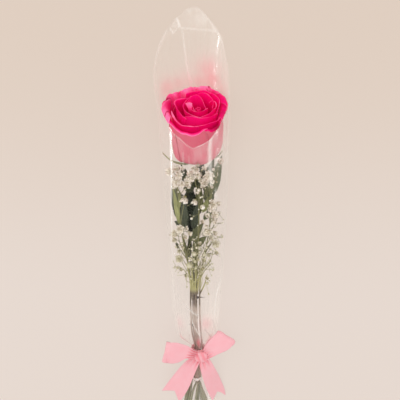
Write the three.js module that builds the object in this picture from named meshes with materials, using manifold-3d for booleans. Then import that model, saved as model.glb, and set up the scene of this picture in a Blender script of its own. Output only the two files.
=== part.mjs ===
// A single pink rose with baby's breath in a clear film sleeve, tied with a satin bow.
// It lies on its back: +Y runs towards the bloom, +Z is up, and the origin is under its middle.
import * as THREE from 'three';
import { mergeVertices } from 'three/addons/utils/BufferGeometryUtils.js';
import Module from 'manifold-3d';

const wasm = await Module();
wasm.setup();

// Clearance left between pieces that touch
const GAP = 0.4;

// Film sleeve: its wall, its pleats, and sections as [y, middle x, middle z, half width, half height]
const FILM_WALL = 0.8;
const FILM_COLUMNS = 32;
const PLEATS = 8;
const SKIRT_END = -238.5;
const SLEEVE_SECTIONS = [
  [-238.5, 0.4, 8.4, 21.5, 9.2],
  [-215, 1.0, 8.6, 17.5, 8.9],
  [-190, 1.8, 9.0, 12.5, 8.2],
  [-170, 2.4, 9.8, 9.0, 7.6],
  [-159, 2.5, 10, 7.4, 7.2],
  [-150, 2.5, 10, 7.4, 7.2],
  [-145, 2, 10, 10.2, 7.7],
  [-140, 0.8, 10.2, 15, 8.5],
  [-134, 0, 10.7, 20.8, 9.6],
  [-122, 0, 12.4, 22.9, 12],
  [-95, -0.2, 14.4, 25.5, 14.2],
  [-50, 0.1, 18.2, 28.6, 18.6],
  [0, 0, 23, 31.3, 23.6],
  [50, -0.3, 27.2, 33.1, 27.9],
  [98, -1.2, 31, 34.8, 31.8],
  [120, -1.8, 34, 35.6, 35],
  [145, -2.4, 37, 36.4, 38],
  [175, -4.6, 37, 37.4, 38],
  [238.5, -1.5, 37, 36.6, 38],
];
const SLEEVE_ROWS = SLEEVE_SECTIONS.slice(1, 15).map((section) => section[0]);
const MOUTH_ROWS = 3;
// How deep the pleats are, as [y, depth]
const PLEAT_DEPTHS = [
  [-238.5, 1.1],
  [-200, 0.8],
  [-160, 0.35],
  [-147, 0.35],
  [-134, 0.7],
  [-95, 0.35],
  [-50, 0],
  [238.5, 0],
];
// Where the film's upper edge lies, as [degrees round from the front, y]
const MOUTH_EDGE = [
  [-180, 238.5],
  [-155, 230],
  [-125, 214],
  [-103, 195],
  [-90, 180],
  [-70, 159],
  [-38, 131],
  [-2, 113],
  [37, 128],
  [70, 154],
  [90, 173],
  [117, 195],
  [130, 211],
  [155, 226],
  [180, 238.5],
];

// Bloom: where its foot is, where the middle of its rim is, and its outside as [height, radius]
const BLOOM_FOOT = new THREE.Vector3(2.8, 84.7, 20.4);
const BLOOM_RIM = new THREE.Vector3(-1, 145.2, 41.2);
const BLOOM_PROFILE = [
  [0, 5],
  [3, 12.5],
  [8, 19.5],
  [14, 23.5],
  [24, 25.7],
  [34, 26],
  [44, 26.5],
  [54, 27.4],
  [64, 28.6],
];
// The solid middle that carries the petals, and how far it stays inside the bloom's outside
const CORE_DEPTH = 1.7;
const CORE_TOP = 45;
const CORE_CROWN = { radius: 6, height: 46.5 };
const CORE_HEIGHTS = [0, 5, 14, 30, CORE_TOP];
const PETAL_WALL = 0.9;
// Rings of petals, from the bud outwards. Each petal stands at one of the angles in degrees, reaches
// spread to both sides, and leans out from the first radius to the second
const PETAL_RINGS = [
  {
    at: [20, 140, 262], spread: 66, columns: 4,
    base: 42, tip: 57, radii: [6.5, 8.5], curl: 0.6, root: 1.4,
  },
  {
    at: [70, 160, 245, 335], spread: 56, columns: 4,
    base: 42, tip: 59, radii: [11.5, 13.5], curl: 1.2, root: 1.6,
  },
  {
    at: [15, 87, 159, 231, 303], spread: 46, columns: 4,
    base: 41, tip: 61.5, radii: [16, 18.5], curl: 1.5, root: 2,
  },
  {
    at: [50, 122, 194, 266, 338], spread: 46, columns: 5,
    base: 38, tip: 63.5, radii: [20.8, 23.8], curl: 1.8, root: 2.6,
  },
];
// How far a petal's corners drop, its rim waves, and one edge stands outside its neighbour
const INNER_RIM = { drop: 2.6, wave: 0.6, lap: 0.9 };
const OUTER_RIM = { drop: 3.5, wave: 0.8, lap: 0.8, roll: 2.2 };
// Outer petals as [degrees, height of the tip]; the front ones roll lowest
const OUTER_PETALS = [[262, 61], [330, 61.5], [38, 65], [104, 67], [180, 65.5]];
const OUTER_SPREAD = 52;
const OUTER_CURL = 3.6;
const OUTER_ROOT = 3.6;
// The rolled petal in the middle: where it starts, how far round it runs, and its size
const HEART = { start: 80, turn: 430, radii: [1.5, 5.1], base: 43, height: 13.5 };

// Calyx: cup profile as [radius, height], and sepals as [degrees, length, flare]
const CUP_PROFILE = [
  [0, -10],
  [3.3, -10],
  [5.2, -7],
  [6, -4],
  [5.8, -1.8],
  [4.6, -GAP],
  [0, -GAP],
];
const SEPALS = [
  [54, 25, 0],
  [126, 25, 0],
  [190, 40, 1],
  [270, 24, 0],
  [342, 27, 0],
];
const SEPAL_WIDTH = 7;
const SEPAL_FOOT = { radius: 5, height: -3.5 };
// How far a sepal stands off the bloom: clear of it, or lying on it
const SEPAL_LIFT = 2.6;
const BLOOM_ROOM = 1.3;

// Rose stem: its line from the calyx to the cut end, and thorns as [y, degrees round, length, width]
const STEM_RADIUS = 2.8;
const STEM_LINE = [
  [3.4, 74.85, 17],
  [3.8, 68.2, 14.7],
  [3, 54, 12.4],
  [0.8, 20, 11.8],
  [-0.8, -20, 12.3],
  [-1.6, -60, 12.8],
  [-1.8, -95, 12.8],
  [-1, -128, 11.2],
  [2.3, -153, 9.8],
  [1.6, -175, 9.6],
  [0, -197, 9.2],
];
const THORNS = [
  [-85, -8, 9, 4.5],
  [-123, 208, 5.5, 6],
  [-42, 205, 6, 4],
  [-64, -40, 6, 4],
  [24, 240, 6, 4],
];
const BAND_Y = -193;
const BAND_WIDTH = 2.6;
const BAND_WALL = 1.2;

// Rose leaves: stalks, then leaflets as [foot, tip, width, upward lean]
const LEAF_WALL = 0.8;
const LEAFLET_ROWS = 8;
const NOTCH = 0.86;
const STALK_RADIUS = 0.8;
const LEAVES = {
  leaf_left: {
    stalk: [[-4.6, -14, 13], [-9, -2, 13], [-15, 12, 14], [-19, 26, 16]],
    leaflets: [
      [[-18.6, 24, 16], [-25, 56, 22], 17, [0.5, 0, 1]],
      [[-15, 12, 14], [-26, 30, 23], 13, [0.7, 0, 1]],
      [[-14, 12, 14], [-9, 44, 12], 15, [0.2, 0, 1]],
      [[-10, 0, 13], [-25, 10, 16.5], 12, [0.5, 0, 1]],
    ],
  },
  leaf_right: {
    stalk: [[3.95, -4, 12], [9, 10, 12], [14, 28, 13.5], [18, 44, 15]],
    leaflets: [
      [[18, 42, 15], [27, 82, 21], 20, [-0.5, 0, 1]],
      [[14, 28, 13.5], [26.5, 46, 19], 14, [-0.6, 0, 1]],
      [[14, 28, 13.5], [13, 62, 9], 14, [0, 0, 1]],
      [[8, 10, 12], [23, 20, 13.5], 13, [-0.4, 0, 1]],
    ],
  },
  leaf_front: {
    stalk: [[-1, -34, 16.7], [-1.6, -14, 19.5], [-3, 4, 21.5], [-4, 16, 22.5]],
    leaflets: [
      [[-4, 14, 22.5], [-4.5, 52, 24.5], 17, [0, 0, 1]],
      [[-3, 4, 21.5], [-16.5, 34, 24], 14, [0.15, 0, 1]],
      [[-3, 4, 21.5], [9.5, 33, 22.5], 14, [-0.1, 0, 1]],
      [[-1.6, -14, 19.5], [-14, 8, 22], 12, [0.15, 0, 1]],
      [[-1.6, -14, 19.5], [9, 8, 21], 12, [-0.1, 0, 1]],
    ],
  },
};

// Baby's breath: a main stem, and side twigs as [x, y, z, heads on it]
const TRUNK_RADIUS = 1.1;
const TWIG_RADIUS = 0.6;
const HEAD_TWIG_RADIUS = 0.45;
const HEAD_REACH = 5;
const FLORET_RADIUS = 3.9;
const BUD_RADIUS = 1.7;
// How far below its end a twig leaves the main stem, and how much more for each mm to the side
const TWIG_DROP = 9;
const TWIG_SLANT = 0.4;
const SPRAYS = {
  spray_left: {
    seed: 11,
    trunk: [
      [-11, -231, 6], [-8.4, -205, 7], [-3.6, -175, 9.6], [-1.6, -157, 10.8], [-1.8, -147, 10.9],
      [-5.2, -128, 12.6], [-6.4, -95, 15], [-6.6, -60, 18], [-10, -30, 23], [-15, 0, 28],
      [-18, 35, 31], [-19, 60, 33],
    ],
    twigs: [
      [-23.5, 61, 34, 3], [-18, 72, 39, 2], [-12, 58, 38, 2], [-26, 73, 30, 1], [-12, 43, 37, 1],
      [-19, 3, 32, 2], [-22, -9, 26, 2], [-14, 15, 34, 2], [-13, -14, 29, 1], [-17, -27, 25, 2],
      [-20, -41, 22, 1],
    ],
  },
  spray_centre: {
    seed: 23,
    trunk: [
      [4.6, -189, 14], [3.4, -170, 14.4], [3.1, -153, 14.2], [0.9, -128, 16.2], [-0.6, -95, 18.2],
      [-0.4, -60, 19.6], [1, -30, 24.5], [2.6, 0, 29.5], [3, 35, 34.5], [3, 58, 38],
    ],
    twigs: [
      [-3, 73, 43, 3], [2, 79, 45, 2], [2, 63, 41, 2], [10, 74, 41, 3], [13, 60, 38, 2],
      [3, 47, 39, 1], [-3, -20, 31, 1], [-5, -34, 28, 1], [3, -36, 28, 1],
    ],
  },
  spray_right: {
    seed: 37,
    trunk: [
      [9.2, -196, 9], [7.8, -172, 9.4], [6.7, -153, 9.6], [4.6, -128, 12], [3.6, -95, 15], [4.4, -60, 18],
      [8.5, -30, 22.5], [13, 0, 27], [16, 28, 31],
    ],
    twigs: [
      [14, 42, 37, 2], [22, 37, 31, 2], [12, 8, 35, 2], [19, -2, 30, 2], [21, 18, 31, 2],
      [25, 24, 25, 1], [11, -27, 28, 1], [18, -19, 27, 2], [17, -36, 24, 1], [12, -52, 21, 1],
    ],
  },
};

// Bow: the band round the film, the knot on it, and the strips of 25 mm ribbon.
// A strip's line is [x, y, z, width, then the way across it as x, y, z]
const RIBBON_WALL = 0.8;
const BOW_BAND = { x: 2.5, y: -154.5, z: 10, halfWidth: 8.1, halfHeight: 7.9, width: 7, wall: 0.9 };
const KNOT = { x: 5.4, y: -155, z: 22, width: 14, length: 12.5, height: 10 };
const STRIPS = {
  left_loop: [
    [3, -154, 23.5, 8, 0, 1, 0],
    [-6, -152, 28, 13, 0, 1, 0],
    [-18, -151.5, 31, 20, 0.08, 1, 0],
    [-30, -151.5, 30.5, 23.5, 0.2, 1, 0.05],
    [-35.5, -151.8, 27, 24, 0.2, 1, 0.05],
    [-33, -152, 22.5, 23.5, 0.2, 1, 0.05],
    [-21, -152.5, 20.6, 19, 0.1, 1, 0],
    [-8, -154, 19.8, 10, 0, 1, 0],
    [3, -155, 19.5, 7, 0, 1, 0],
  ],
  right_loop: [
    [7, -154.5, 23.5, 8, -0.2, 1, 0],
    [13, -148, 29, 13, -0.4, 1, 0],
    [22, -139, 33.5, 20, -0.55, 0.9, 0],
    [31, -131, 33.5, 23, -0.7, 0.75, -0.1],
    [35, -128, 30, 23.5, -0.75, 0.7, -0.1],
    [31.5, -131.5, 25.8, 23.5, -0.7, 0.75, -0.1],
    [22, -141, 23.2, 19, -0.55, 0.9, 0],
    [13, -149.5, 21.6, 11, -0.4, 1, 0],
    [7, -155, 20.5, 7, -0.2, 1, 0],
  ],
  left_tail: [
    [4.5, -155, 21, 8, -0.9, 0.4, 0],
    [-2.5, -163, 22.5, 15, -0.9, 0.4, -0.1],
    [-9.5, -178, 21.5, 21, -0.86, 0.38, -0.3],
    [-18, -197, 16.8, 24, -0.82, 0.38, -0.42],
    [-29.3, -221, 8.8, 25, -0.8, 0.37, -0.45],
  ],
  right_tail: [
    [6.5, -155, 21, 8, -0.9, -0.3, 0],
    [9.5, -164, 22.4, 13, -0.85, -0.35, 0.2],
    [14, -179, 20.5, 18, -0.75, -0.3, 0.5],
    [19.5, -198, 15.2, 22, -0.68, -0.2, 0.66],
    [26, -219, 9.6, 22, -0.66, -0.1, 0.7],
  ],
};
const SWALLOW_DEPTH = 10;

const COLOURS = {
  bloom: '#e30a5c',
  calyx: '#5d6b3a',
  stem: '#6d4f47',
  leaf: '#4d5a45',
  spray: '#eee8dc',
  film: '#eef0ee',
  ribbon: '#f8b4bd',
  band: '#f1ede8',
};

const vector = ([x, y, z]) => new THREE.Vector3(x, y, z);
const radians = THREE.MathUtils.degToRad;

// A smooth line through rows of [at, value, ...] that never swings past a row
function through(rows) {
  const slope = (i, k) => {
    if (i === 0 || i === rows.length - 1) return 0;
    const before = (rows[i][k] - rows[i - 1][k]) / (rows[i][0] - rows[i - 1][0]);
    const after = (rows[i + 1][k] - rows[i][k]) / (rows[i + 1][0] - rows[i][0]);
    return before * after > 0 ? (2 * before * after) / (before + after) : 0;
  };
  return (at) => {
    const next = rows.findIndex((row) => row[0] > at);
    const i = next < 0 ? rows.length - 2 : Math.max(next - 1, 0);
    const [low, high] = [rows[i], rows[i + 1]];
    const span = high[0] - low[0];
    const t = THREE.MathUtils.clamp((at - low[0]) / span, 0, 1);
    return low.slice(1).map((value, n) => {
      const k = n + 1;
      const ease = t * t * (3 - 2 * t);
      return value + (high[k] - value) * ease
        + span * (slope(i, k) * t * (1 - t) ** 2 - slope(i + 1, k) * t * t * (1 - t));
    });
  };
}

// A closed sheet between two faces, each a function of (s, t); wrapped, it closes round into a tube
function sheet(columns, rows, front, back, wrapped = false) {
  const width = wrapped ? columns : columns + 1;
  const positions = [];
  for (const face of [front, back]) {
    for (let j = 0; j <= rows; j++) {
      for (let i = 0; i < width; i++) positions.push(...face(i / columns, j / rows).toArray());
    }
  }
  const at = (face, i, j) => (face * (rows + 1) + j) * width + (i % width);
  const index = [];
  const quad = (a, b, c, d) => index.push(a, b, c, a, c, d);
  for (let j = 0; j < rows; j++) {
    for (let i = 0; i < columns; i++) {
      quad(at(0, i, j), at(0, i + 1, j), at(0, i + 1, j + 1), at(0, i, j + 1));
      index.push(at(1, i, j), at(1, i + 1, j + 1), at(1, i + 1, j));
      index.push(at(1, i, j), at(1, i, j + 1), at(1, i + 1, j + 1));
    }
  }
  for (let i = 0; i < columns; i++) {
    quad(at(0, i, 0), at(1, i, 0), at(1, i + 1, 0), at(0, i + 1, 0));
    quad(at(0, i + 1, rows), at(1, i + 1, rows), at(1, i, rows), at(0, i, rows));
  }
  for (let j = 0; j < rows && !wrapped; j++) {
    quad(at(0, 0, j), at(0, 0, j + 1), at(1, 0, j + 1), at(1, 0, j));
    quad(at(0, columns, j), at(1, columns, j), at(1, columns, j + 1), at(0, columns, j + 1));
  }
  const geometry = new THREE.BufferGeometry();
  geometry.setAttribute('position', new THREE.Float32BufferAttribute(positions, 3));
  geometry.setIndex(index);
  return geometry;
}

// The face that lies a thickness behind another
function behind(face, thickness) {
  const step = 1e-3;
  return (s, t) => {
    const across = face(Math.min(s + step, 1), t).sub(face(Math.max(s - step, 0), t));
    const along = face(s, Math.min(t + step, 1)).sub(face(s, Math.max(t - step, 0)));
    const outward = across.cross(along).normalize();
    return face(s, t).addScaledVector(outward, -thickness(s, t));
  };
}

// A round rod along a line of points
function rod(points, radius, sides, steps) {
  const section = new THREE.Shape();
  for (let i = 0; i < sides; i++) {
    const angle = (2 * Math.PI * i) / sides;
    const [x, y] = [radius * Math.cos(angle), radius * Math.sin(angle)];
    if (i === 0) section.moveTo(x, y);
    else section.lineTo(x, y);
  }
  section.closePath();
  const extrudePath = new THREE.CatmullRomCurve3(points, false, 'centripetal');
  return new THREE.ExtrudeGeometry(section, { steps, extrudePath, bevelEnabled: false });
}

function lathe(profile, sides) {
  const points = profile.map(([radius, height]) => new THREE.Vector2(radius, height));
  return new THREE.LatheGeometry(points, sides);
}

// A closed geometry as a solid that can be joined and cut
function solid(geometry) {
  const plain = geometry.clone();
  plain.deleteAttribute('normal');
  plain.deleteAttribute('uv');
  const merged = mergeVertices(plain, 1e-4);
  const mesh = (order) => new wasm.Mesh({
    numProp: 3,
    vertProperties: merged.attributes.position.array,
    triVerts: Uint32Array.from(order),
  });
  const body = new wasm.Manifold(mesh(merged.index.array));
  return body.volume() > 0 ? body : new wasm.Manifold(mesh([...merged.index.array].reverse()));
}

function largest(body) {
  return body.decompose().reduce((best, part) => (part.volume() > best.volume() ? part : best));
}

// Solids joined in one body; loose scraps are dropped
function joined(geometries) {
  return largest(geometries.map(solid).reduce((sum, part) => sum.add(part)));
}

// A short tube round the Y axis
function ringOf(inner, outer, low, high, sides) {
  return lathe([[inner, low], [outer, low], [outer, high], [inner, high], [inner, low]], sides);
}

function geometryOf(body) {
  const mesh = body.getMesh();
  const geometry = new THREE.BufferGeometry();
  geometry.setAttribute('position', new THREE.BufferAttribute(mesh.vertProperties, 3));
  geometry.setIndex(new THREE.BufferAttribute(mesh.triVerts, 1));
  return geometry;
}

// Numbers from 0 to 1 that come out alike every time
function draws(seed) {
  let state = seed;
  return () => {
    state = (state * 16807) % 2147483647;
    return state / 2147483647;
  };
}

// Film sleeve: one wall round, pleated at the tie, lying flat where it rests
function sleeve() {
  const section = through(SLEEVE_SECTIONS);
  const pleatDepth = through(PLEAT_DEPTHS);
  const mouth = through(MOUTH_EDGE);
  const lastRow = SLEEVE_ROWS.length;
  const rows = lastRow + MOUTH_ROWS;
  const heightAt = (row, degrees) => {
    if (row === 0) return SKIRT_END + 1.5 * (1 - Math.cos(radians(2 * degrees)));
    if (row <= lastRow) return SLEEVE_ROWS[row - 1];
    const low = SLEEVE_ROWS[lastRow - 1];
    return low + ((mouth(degrees)[0] - low) * (row - lastRow)) / MOUTH_ROWS;
  };
  const face = (inset) => (s, t) => {
    const degrees = 360 * s - 180;
    const angle = radians(degrees);
    const y = heightAt(Math.round(t * rows), degrees);
    const [x, z, halfWidth, halfHeight] = section(y);
    const pleat = pleatDepth(y)[0] * Math.cos(PLEATS * angle) - inset;
    return new THREE.Vector3(
      x + (halfWidth + pleat) * Math.sin(angle),
      y,
      Math.max(z + (halfHeight + pleat) * Math.cos(angle), inset),
    );
  };
  return sheet(FILM_COLUMNS, rows, face(0), face(FILM_WALL), true);
}

// The bloom's own frame: its axis, and a point at an angle, radius and height in it
const bloomAxis = BLOOM_RIM.clone().sub(BLOOM_FOOT).normalize();
const bloomSide = new THREE.Vector3(1, 0, 0).addScaledVector(bloomAxis, -bloomAxis.x).normalize();
const bloomUnder = bloomAxis.clone().cross(bloomSide);
const onBloom = (degrees, radius, height) => BLOOM_FOOT.clone()
  .addScaledVector(bloomAxis, height)
  .addScaledVector(bloomSide, radius * Math.cos(radians(degrees)))
  .addScaledVector(bloomUnder, radius * Math.sin(radians(degrees)));
// Lathes turn about +Y, so this carries them to the bloom's axis
const bloomFrame = new THREE.Matrix4()
  .makeBasis(bloomSide, bloomAxis, bloomUnder.clone().negate())
  .setPosition(BLOOM_FOOT);

function innerPetal(ring, degrees) {
  const { spread, base, tip, radii, curl, root, columns } = ring;
  const face = (s, t) => {
    const side = 2 * s - 1;
    const top = tip - INNER_RIM.drop * side ** 4 + INNER_RIM.wave * Math.sin(4 * side + degrees);
    const lean = THREE.MathUtils.lerp(radii[0], radii[1], t) + curl * t ** 4;
    const radius = lean + INNER_RIM.lap * side;
    return onBloom(degrees + spread * side, radius, base + (top - base) * t);
  };
  return sheet(columns, 3, face, behind(face, (s, t) => THREE.MathUtils.lerp(root, PETAL_WALL, t)));
}

function outerPetal([degrees, tip]) {
  const body = through(BLOOM_PROFILE);
  const face = (s, t) => {
    const side = 2 * s - 1;
    const top = tip - OUTER_RIM.drop * side ** 4 + OUTER_RIM.wave * Math.sin(5 * side + degrees);
    const height = 1 + (top - 1) * t;
    const radius = body(height)[0] + OUTER_RIM.lap * side + OUTER_CURL * t ** 8;
    const around = degrees + OUTER_SPREAD * side * (0.9 + 0.1 * t);
    return onBloom(around, radius, height - OUTER_RIM.roll * t ** 14);
  };
  const thin = (t) => THREE.MathUtils.smoothstep(t, 0.35, 0.8);
  return sheet(6, 7, face, behind(face, (s, t) => THREE.MathUtils.lerp(OUTER_ROOT, PETAL_WALL, thin(t))));
}

// The rolled petal at the heart
function heart() {
  const { start, turn, radii, base, height } = HEART;
  const radius = (s) => THREE.MathUtils.lerp(radii[0], radii[1], s);
  const face = (s, t) => onBloom(start + turn * s, radius(s), base + (height - radii[0] * s) * t);
  return sheet(10, 2, face, behind(face, () => PETAL_WALL));
}

function bloom() {
  const body = through(BLOOM_PROFILE);
  const core = CORE_HEIGHTS.map((height) => [body(height)[0] - CORE_DEPTH, height]);
  const closed = [[0, 0], ...core, [CORE_CROWN.radius, CORE_CROWN.height], [0, CORE_CROWN.height]];
  const petals = PETAL_RINGS.flatMap((ring) => ring.at.map((degrees) => innerPetal(ring, degrees)));
  const outside = OUTER_PETALS.map(outerPetal);
  return joined([lathe(closed, 12).applyMatrix4(bloomFrame), ...petals, ...outside, heart()]);
}

// One sepal, hugging the bloom or flared away from it
function sepal([degrees, length, flare]) {
  const body = through(BLOOM_PROFILE);
  const face = (s, t) => {
    const side = 2 * s - 1;
    const rise = length * t * (flare ? 0.45 : 0.9);
    const height = SEPAL_FOOT.height + rise;
    const hugging = height > 0 ? body(height)[0] + SEPAL_LIFT : SEPAL_FOOT.radius + 0.5 + 2.2 * rise;
    const flared = SEPAL_FOOT.radius + length * 0.78 * t;
    const radius = flare ? flared : Math.min(hugging, SEPAL_FOOT.radius + 30 * t);
    const halfWidth = (SEPAL_WIDTH / 2) * (1 - t) ** 0.8 + 0.35;
    return onBloom(degrees, radius + 0.4 * side * side, height)
      .addScaledVector(onBloom(degrees + 90, 1, 0).sub(BLOOM_FOOT), side * halfWidth);
  };
  return sheet(2, 6, face, behind(face, () => LEAF_WALL));
}

function calyx() {
  const cup = lathe(CUP_PROFILE, 10).applyMatrix4(bloomFrame);
  const top = BLOOM_PROFILE[BLOOM_PROFILE.length - 1][0];
  const side = BLOOM_PROFILE.map(([height, radius]) => [radius + BLOOM_ROOM, height - GAP]);
  const room = solid(lathe([[0, -GAP], ...side, [0, top]], 16).applyMatrix4(bloomFrame));
  return largest(joined([cup, ...SEPALS.map(sepal)]).subtract(room));
}

// The point of the rose's stem at a given y
function stemAt(y) {
  const line = new THREE.CatmullRomCurve3(STEM_LINE.map(vector), false, 'centripetal');
  const points = line.getPoints(200);
  return points.reduce((best, point) => (Math.abs(point.y - y) < Math.abs(best.y - y) ? point : best));
}

function thorn([y, degrees, length, width]) {
  const out = new THREE.Vector3(Math.cos(radians(degrees)), 0.12, Math.sin(radians(degrees))).normalize();
  const cone = new THREE.ConeGeometry(0.5, 1, 6);
  cone.scale(width * 0.6, length + STEM_RADIUS, width);
  cone.translate(0, (length + STEM_RADIUS) / 2, 0);
  cone.applyQuaternion(new THREE.Quaternion().setFromUnitVectors(new THREE.Vector3(0, 1, 0), out));
  const foot = stemAt(y);
  cone.translate(foot.x, foot.y, foot.z);
  return cone;
}

function stem() {
  return joined([rod(STEM_LINE.map(vector), STEM_RADIUS, 7, 22), ...THORNS.map(thorn)]);
}

function stemBand() {
  const inner = STEM_RADIUS + 1.5 * GAP;
  const ring = ringOf(inner, inner + BAND_WALL, -BAND_WIDTH / 2, BAND_WIDTH / 2, 14);
  const middle = stemAt(BAND_Y);
  ring.translate(middle.x, middle.y, middle.z);
  return solid(ring);
}

// A leaflet from foot to tip, its edge cut in teeth
function leaflet([foot, tip, width, lean]) {
  const start = vector(foot);
  const along = vector(tip).sub(start);
  const up = vector(lean).addScaledVector(along, -vector(lean).dot(along) / along.lengthSq()).normalize();
  const across = along.clone().cross(up).normalize();
  const face = (s, t) => {
    const row = Math.round(t * LEAFLET_ROWS);
    const side = 2 * s - 1;
    const tooth = row % 2 ? 1 : NOTCH;
    const halfWidth = (width / 2) * Math.sin(Math.PI * t ** 0.8) ** 0.85 * tooth + 0.4;
    const arch = 0.06 * along.length() * Math.sin(Math.PI * t) + 0.16 * halfWidth * Math.abs(side);
    return start.clone()
      .addScaledVector(along, t)
      .addScaledVector(across, side * halfWidth)
      .addScaledVector(up, arch);
  };
  return sheet(2, LEAFLET_ROWS, face, (s, t) => face(s, t).addScaledVector(up, -LEAF_WALL));
}

function leaf({ stalk, leaflets }) {
  const rib = rod(stalk.map(vector), STALK_RADIUS, 4, 4);
  return joined([rib, ...leaflets.map(leaflet)]);
}

// A small round head of notched petals, facing out along a direction
function floret(middle, out, radius) {
  const cone = new THREE.ConeGeometry(radius, radius * 0.9, 10, 1);
  const position = cone.attributes.position;
  for (let i = 0; i < position.count; i++) {
    const [x, y, z] = [position.getX(i), position.getY(i), position.getZ(i)];
    const atRim = Math.hypot(x, z) > radius / 2;
    const petal = Math.round((Math.atan2(z, x) * 5) / Math.PI) % 2 === 0;
    const reach = atRim && !petal ? 0.7 : 1;
    const hollow = !atRim && y < 0 ? radius * 0.3 : 0;
    position.setXYZ(i, x * reach, y + hollow, z * reach);
  }
  cone.rotateX(Math.PI);
  cone.applyQuaternion(new THREE.Quaternion().setFromUnitVectors(new THREE.Vector3(0, 1, 0), out));
  cone.translate(middle.x, middle.y, middle.z);
  return cone;
}

function bud(middle, radius) {
  const ball = new THREE.SphereGeometry(radius, 5, 3);
  ball.scale(0.85, 1.2, 0.85);
  ball.translate(middle.x, middle.y, middle.z);
  return ball;
}

// A spray: its main stem, its twigs, and florets and buds fanned round each twig's end
function spray({ seed, trunk, twigs }) {
  const random = draws(seed);
  const line = new THREE.CatmullRomCurve3(trunk.map(vector), false, 'centripetal');
  const stations = line.getPoints(150);
  const pieces = [rod(trunk.map(vector), TRUNK_RADIUS, 5, 12)];
  for (const [x, y, z, heads] of twigs) {
    const end = new THREE.Vector3(x, y, z);
    const below = (point) => point.y < y - TWIG_DROP - TWIG_SLANT * Math.abs(point.x - x);
    const root = stations.filter(below).pop();
    pieces.push(rod([root, end], TWIG_RADIUS, 3, 1));
    for (let n = 0; n < heads; n++) {
      const turn = 2 * Math.PI * ((n + 0.6 * random()) / heads);
      const out = new THREE.Vector3(Math.cos(turn), 0.9, Math.sin(turn) * 0.8 + 0.35).normalize();
      const reach = heads === 1 ? BUD_RADIUS : HEAD_REACH + 1.2 * random();
      const head = end.clone().addScaledVector(out, reach);
      const isBud = y < 0 && n % 2 === 1;
      pieces.push(rod([end, head], HEAD_TWIG_RADIUS, 3, 1));
      if (isBud) pieces.push(bud(head, BUD_RADIUS));
      else pieces.push(floret(head, out, FLORET_RADIUS * (0.85 + 0.3 * random())));
    }
  }
  return joined(pieces);
}

// One strip of ribbon along its line; a cut end is notched like a swallow's tail
function strip(rows, steps, notched) {
  const line = new THREE.CatmullRomCurve3(rows.map(vector), false, 'centripetal');
  const at = through(rows.map((row, i) => [i / (rows.length - 1), ...row.slice(3)]));
  const face = (s, t) => {
    const [width, x, y, z] = at(t);
    const side = new THREE.Vector3(x, y, z).normalize();
    const end = t === 1 ? 1 : 0;
    const notch = notched ? end * SWALLOW_DEPTH * (1 - Math.abs(2 * s - 1)) : 0;
    return line.getPoint(t)
      .addScaledVector(side, (s - 0.5) * width)
      .addScaledVector(line.getTangent(t), -notch);
  };
  return sheet(2, steps, face, behind(face, () => RIBBON_WALL));
}

function bow() {
  const { x, y, z, halfWidth, halfHeight, width, wall } = BOW_BAND;
  const [low, high] = [-width / 2, width / 2];
  const band = ringOf(1, 1 + wall / halfWidth, low, high, 20);
  band.scale(halfWidth, 1, halfHeight);
  band.translate(x, y, z);
  const knot = new THREE.SphereGeometry(0.5, 10, 7);
  knot.scale(KNOT.width, KNOT.length, KNOT.height);
  knot.translate(KNOT.x, KNOT.y, KNOT.z);
  const loops = [STRIPS.left_loop, STRIPS.right_loop].map((rows) => strip(rows, 13, false));
  const tails = [STRIPS.left_tail, STRIPS.right_tail].map((rows) => strip(rows, 8, true));
  const neck = lathe([[0, low - 2], [1, low - 2], [1, high + 2], [0, high + 2]], 20);
  neck.scale(halfWidth, 1, halfHeight);
  neck.translate(x, y, z);
  return joined([band, knot, ...loops, ...tails]).subtract(solid(neck));
}

const group = new THREE.Group();

function place(name, geometry, color, roughness, extra = {}) {
  const material = new THREE.MeshStandardMaterial({ color, roughness, metalness: 0, ...extra });
  const mesh = new THREE.Mesh(geometry, material);
  mesh.name = name;
  group.add(mesh);
}

place('bloom', geometryOf(bloom()), COLOURS.bloom, 0.6);
place('calyx', geometryOf(calyx()), COLOURS.calyx, 0.6);
place('stem', geometryOf(stem()), COLOURS.stem, 0.6);
place('stem_band', geometryOf(stemBand()), COLOURS.band, 0.5);
for (const [name, plan] of Object.entries(LEAVES)) {
  place(name, geometryOf(leaf(plan)), COLOURS.leaf, 0.55);
}
for (const [name, plan] of Object.entries(SPRAYS)) {
  place(name, geometryOf(spray(plan)), COLOURS.spray, 0.8);
}
place('sleeve', geometryOf(solid(sleeve())), COLOURS.film, 0.1, { transparent: true, opacity: 0.3 });
place('bow', geometryOf(bow()), COLOURS.ribbon, 0.45);

export default group;
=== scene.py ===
"""One pink rose with baby's breath in a clear film sleeve, tied with a satin bow and laid on its back."""
import math

import bpy
import numpy as np
from mathutils import Matrix, Vector


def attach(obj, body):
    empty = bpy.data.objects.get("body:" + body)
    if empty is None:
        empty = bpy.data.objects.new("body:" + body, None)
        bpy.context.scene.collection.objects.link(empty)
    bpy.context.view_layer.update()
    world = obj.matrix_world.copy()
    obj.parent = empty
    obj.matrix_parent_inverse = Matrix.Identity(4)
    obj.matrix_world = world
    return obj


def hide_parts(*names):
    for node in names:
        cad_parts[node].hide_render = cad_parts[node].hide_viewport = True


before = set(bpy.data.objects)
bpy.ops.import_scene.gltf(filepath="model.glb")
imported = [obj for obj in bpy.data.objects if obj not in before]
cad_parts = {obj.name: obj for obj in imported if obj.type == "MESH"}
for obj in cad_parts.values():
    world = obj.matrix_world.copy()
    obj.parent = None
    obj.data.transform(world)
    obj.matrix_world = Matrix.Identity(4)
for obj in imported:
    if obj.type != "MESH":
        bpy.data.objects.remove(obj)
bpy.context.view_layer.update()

# The view. The rose lies on a pale floor, and the camera looks down on it, tipped towards the bloom,
# so that the bloom's opening shows as it does on a rose that is held upright.
MM = 0.001
LOOK_AT = Vector((4, 36.5, 20)) * MM
CAMERA_TIP = math.radians(25)
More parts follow.
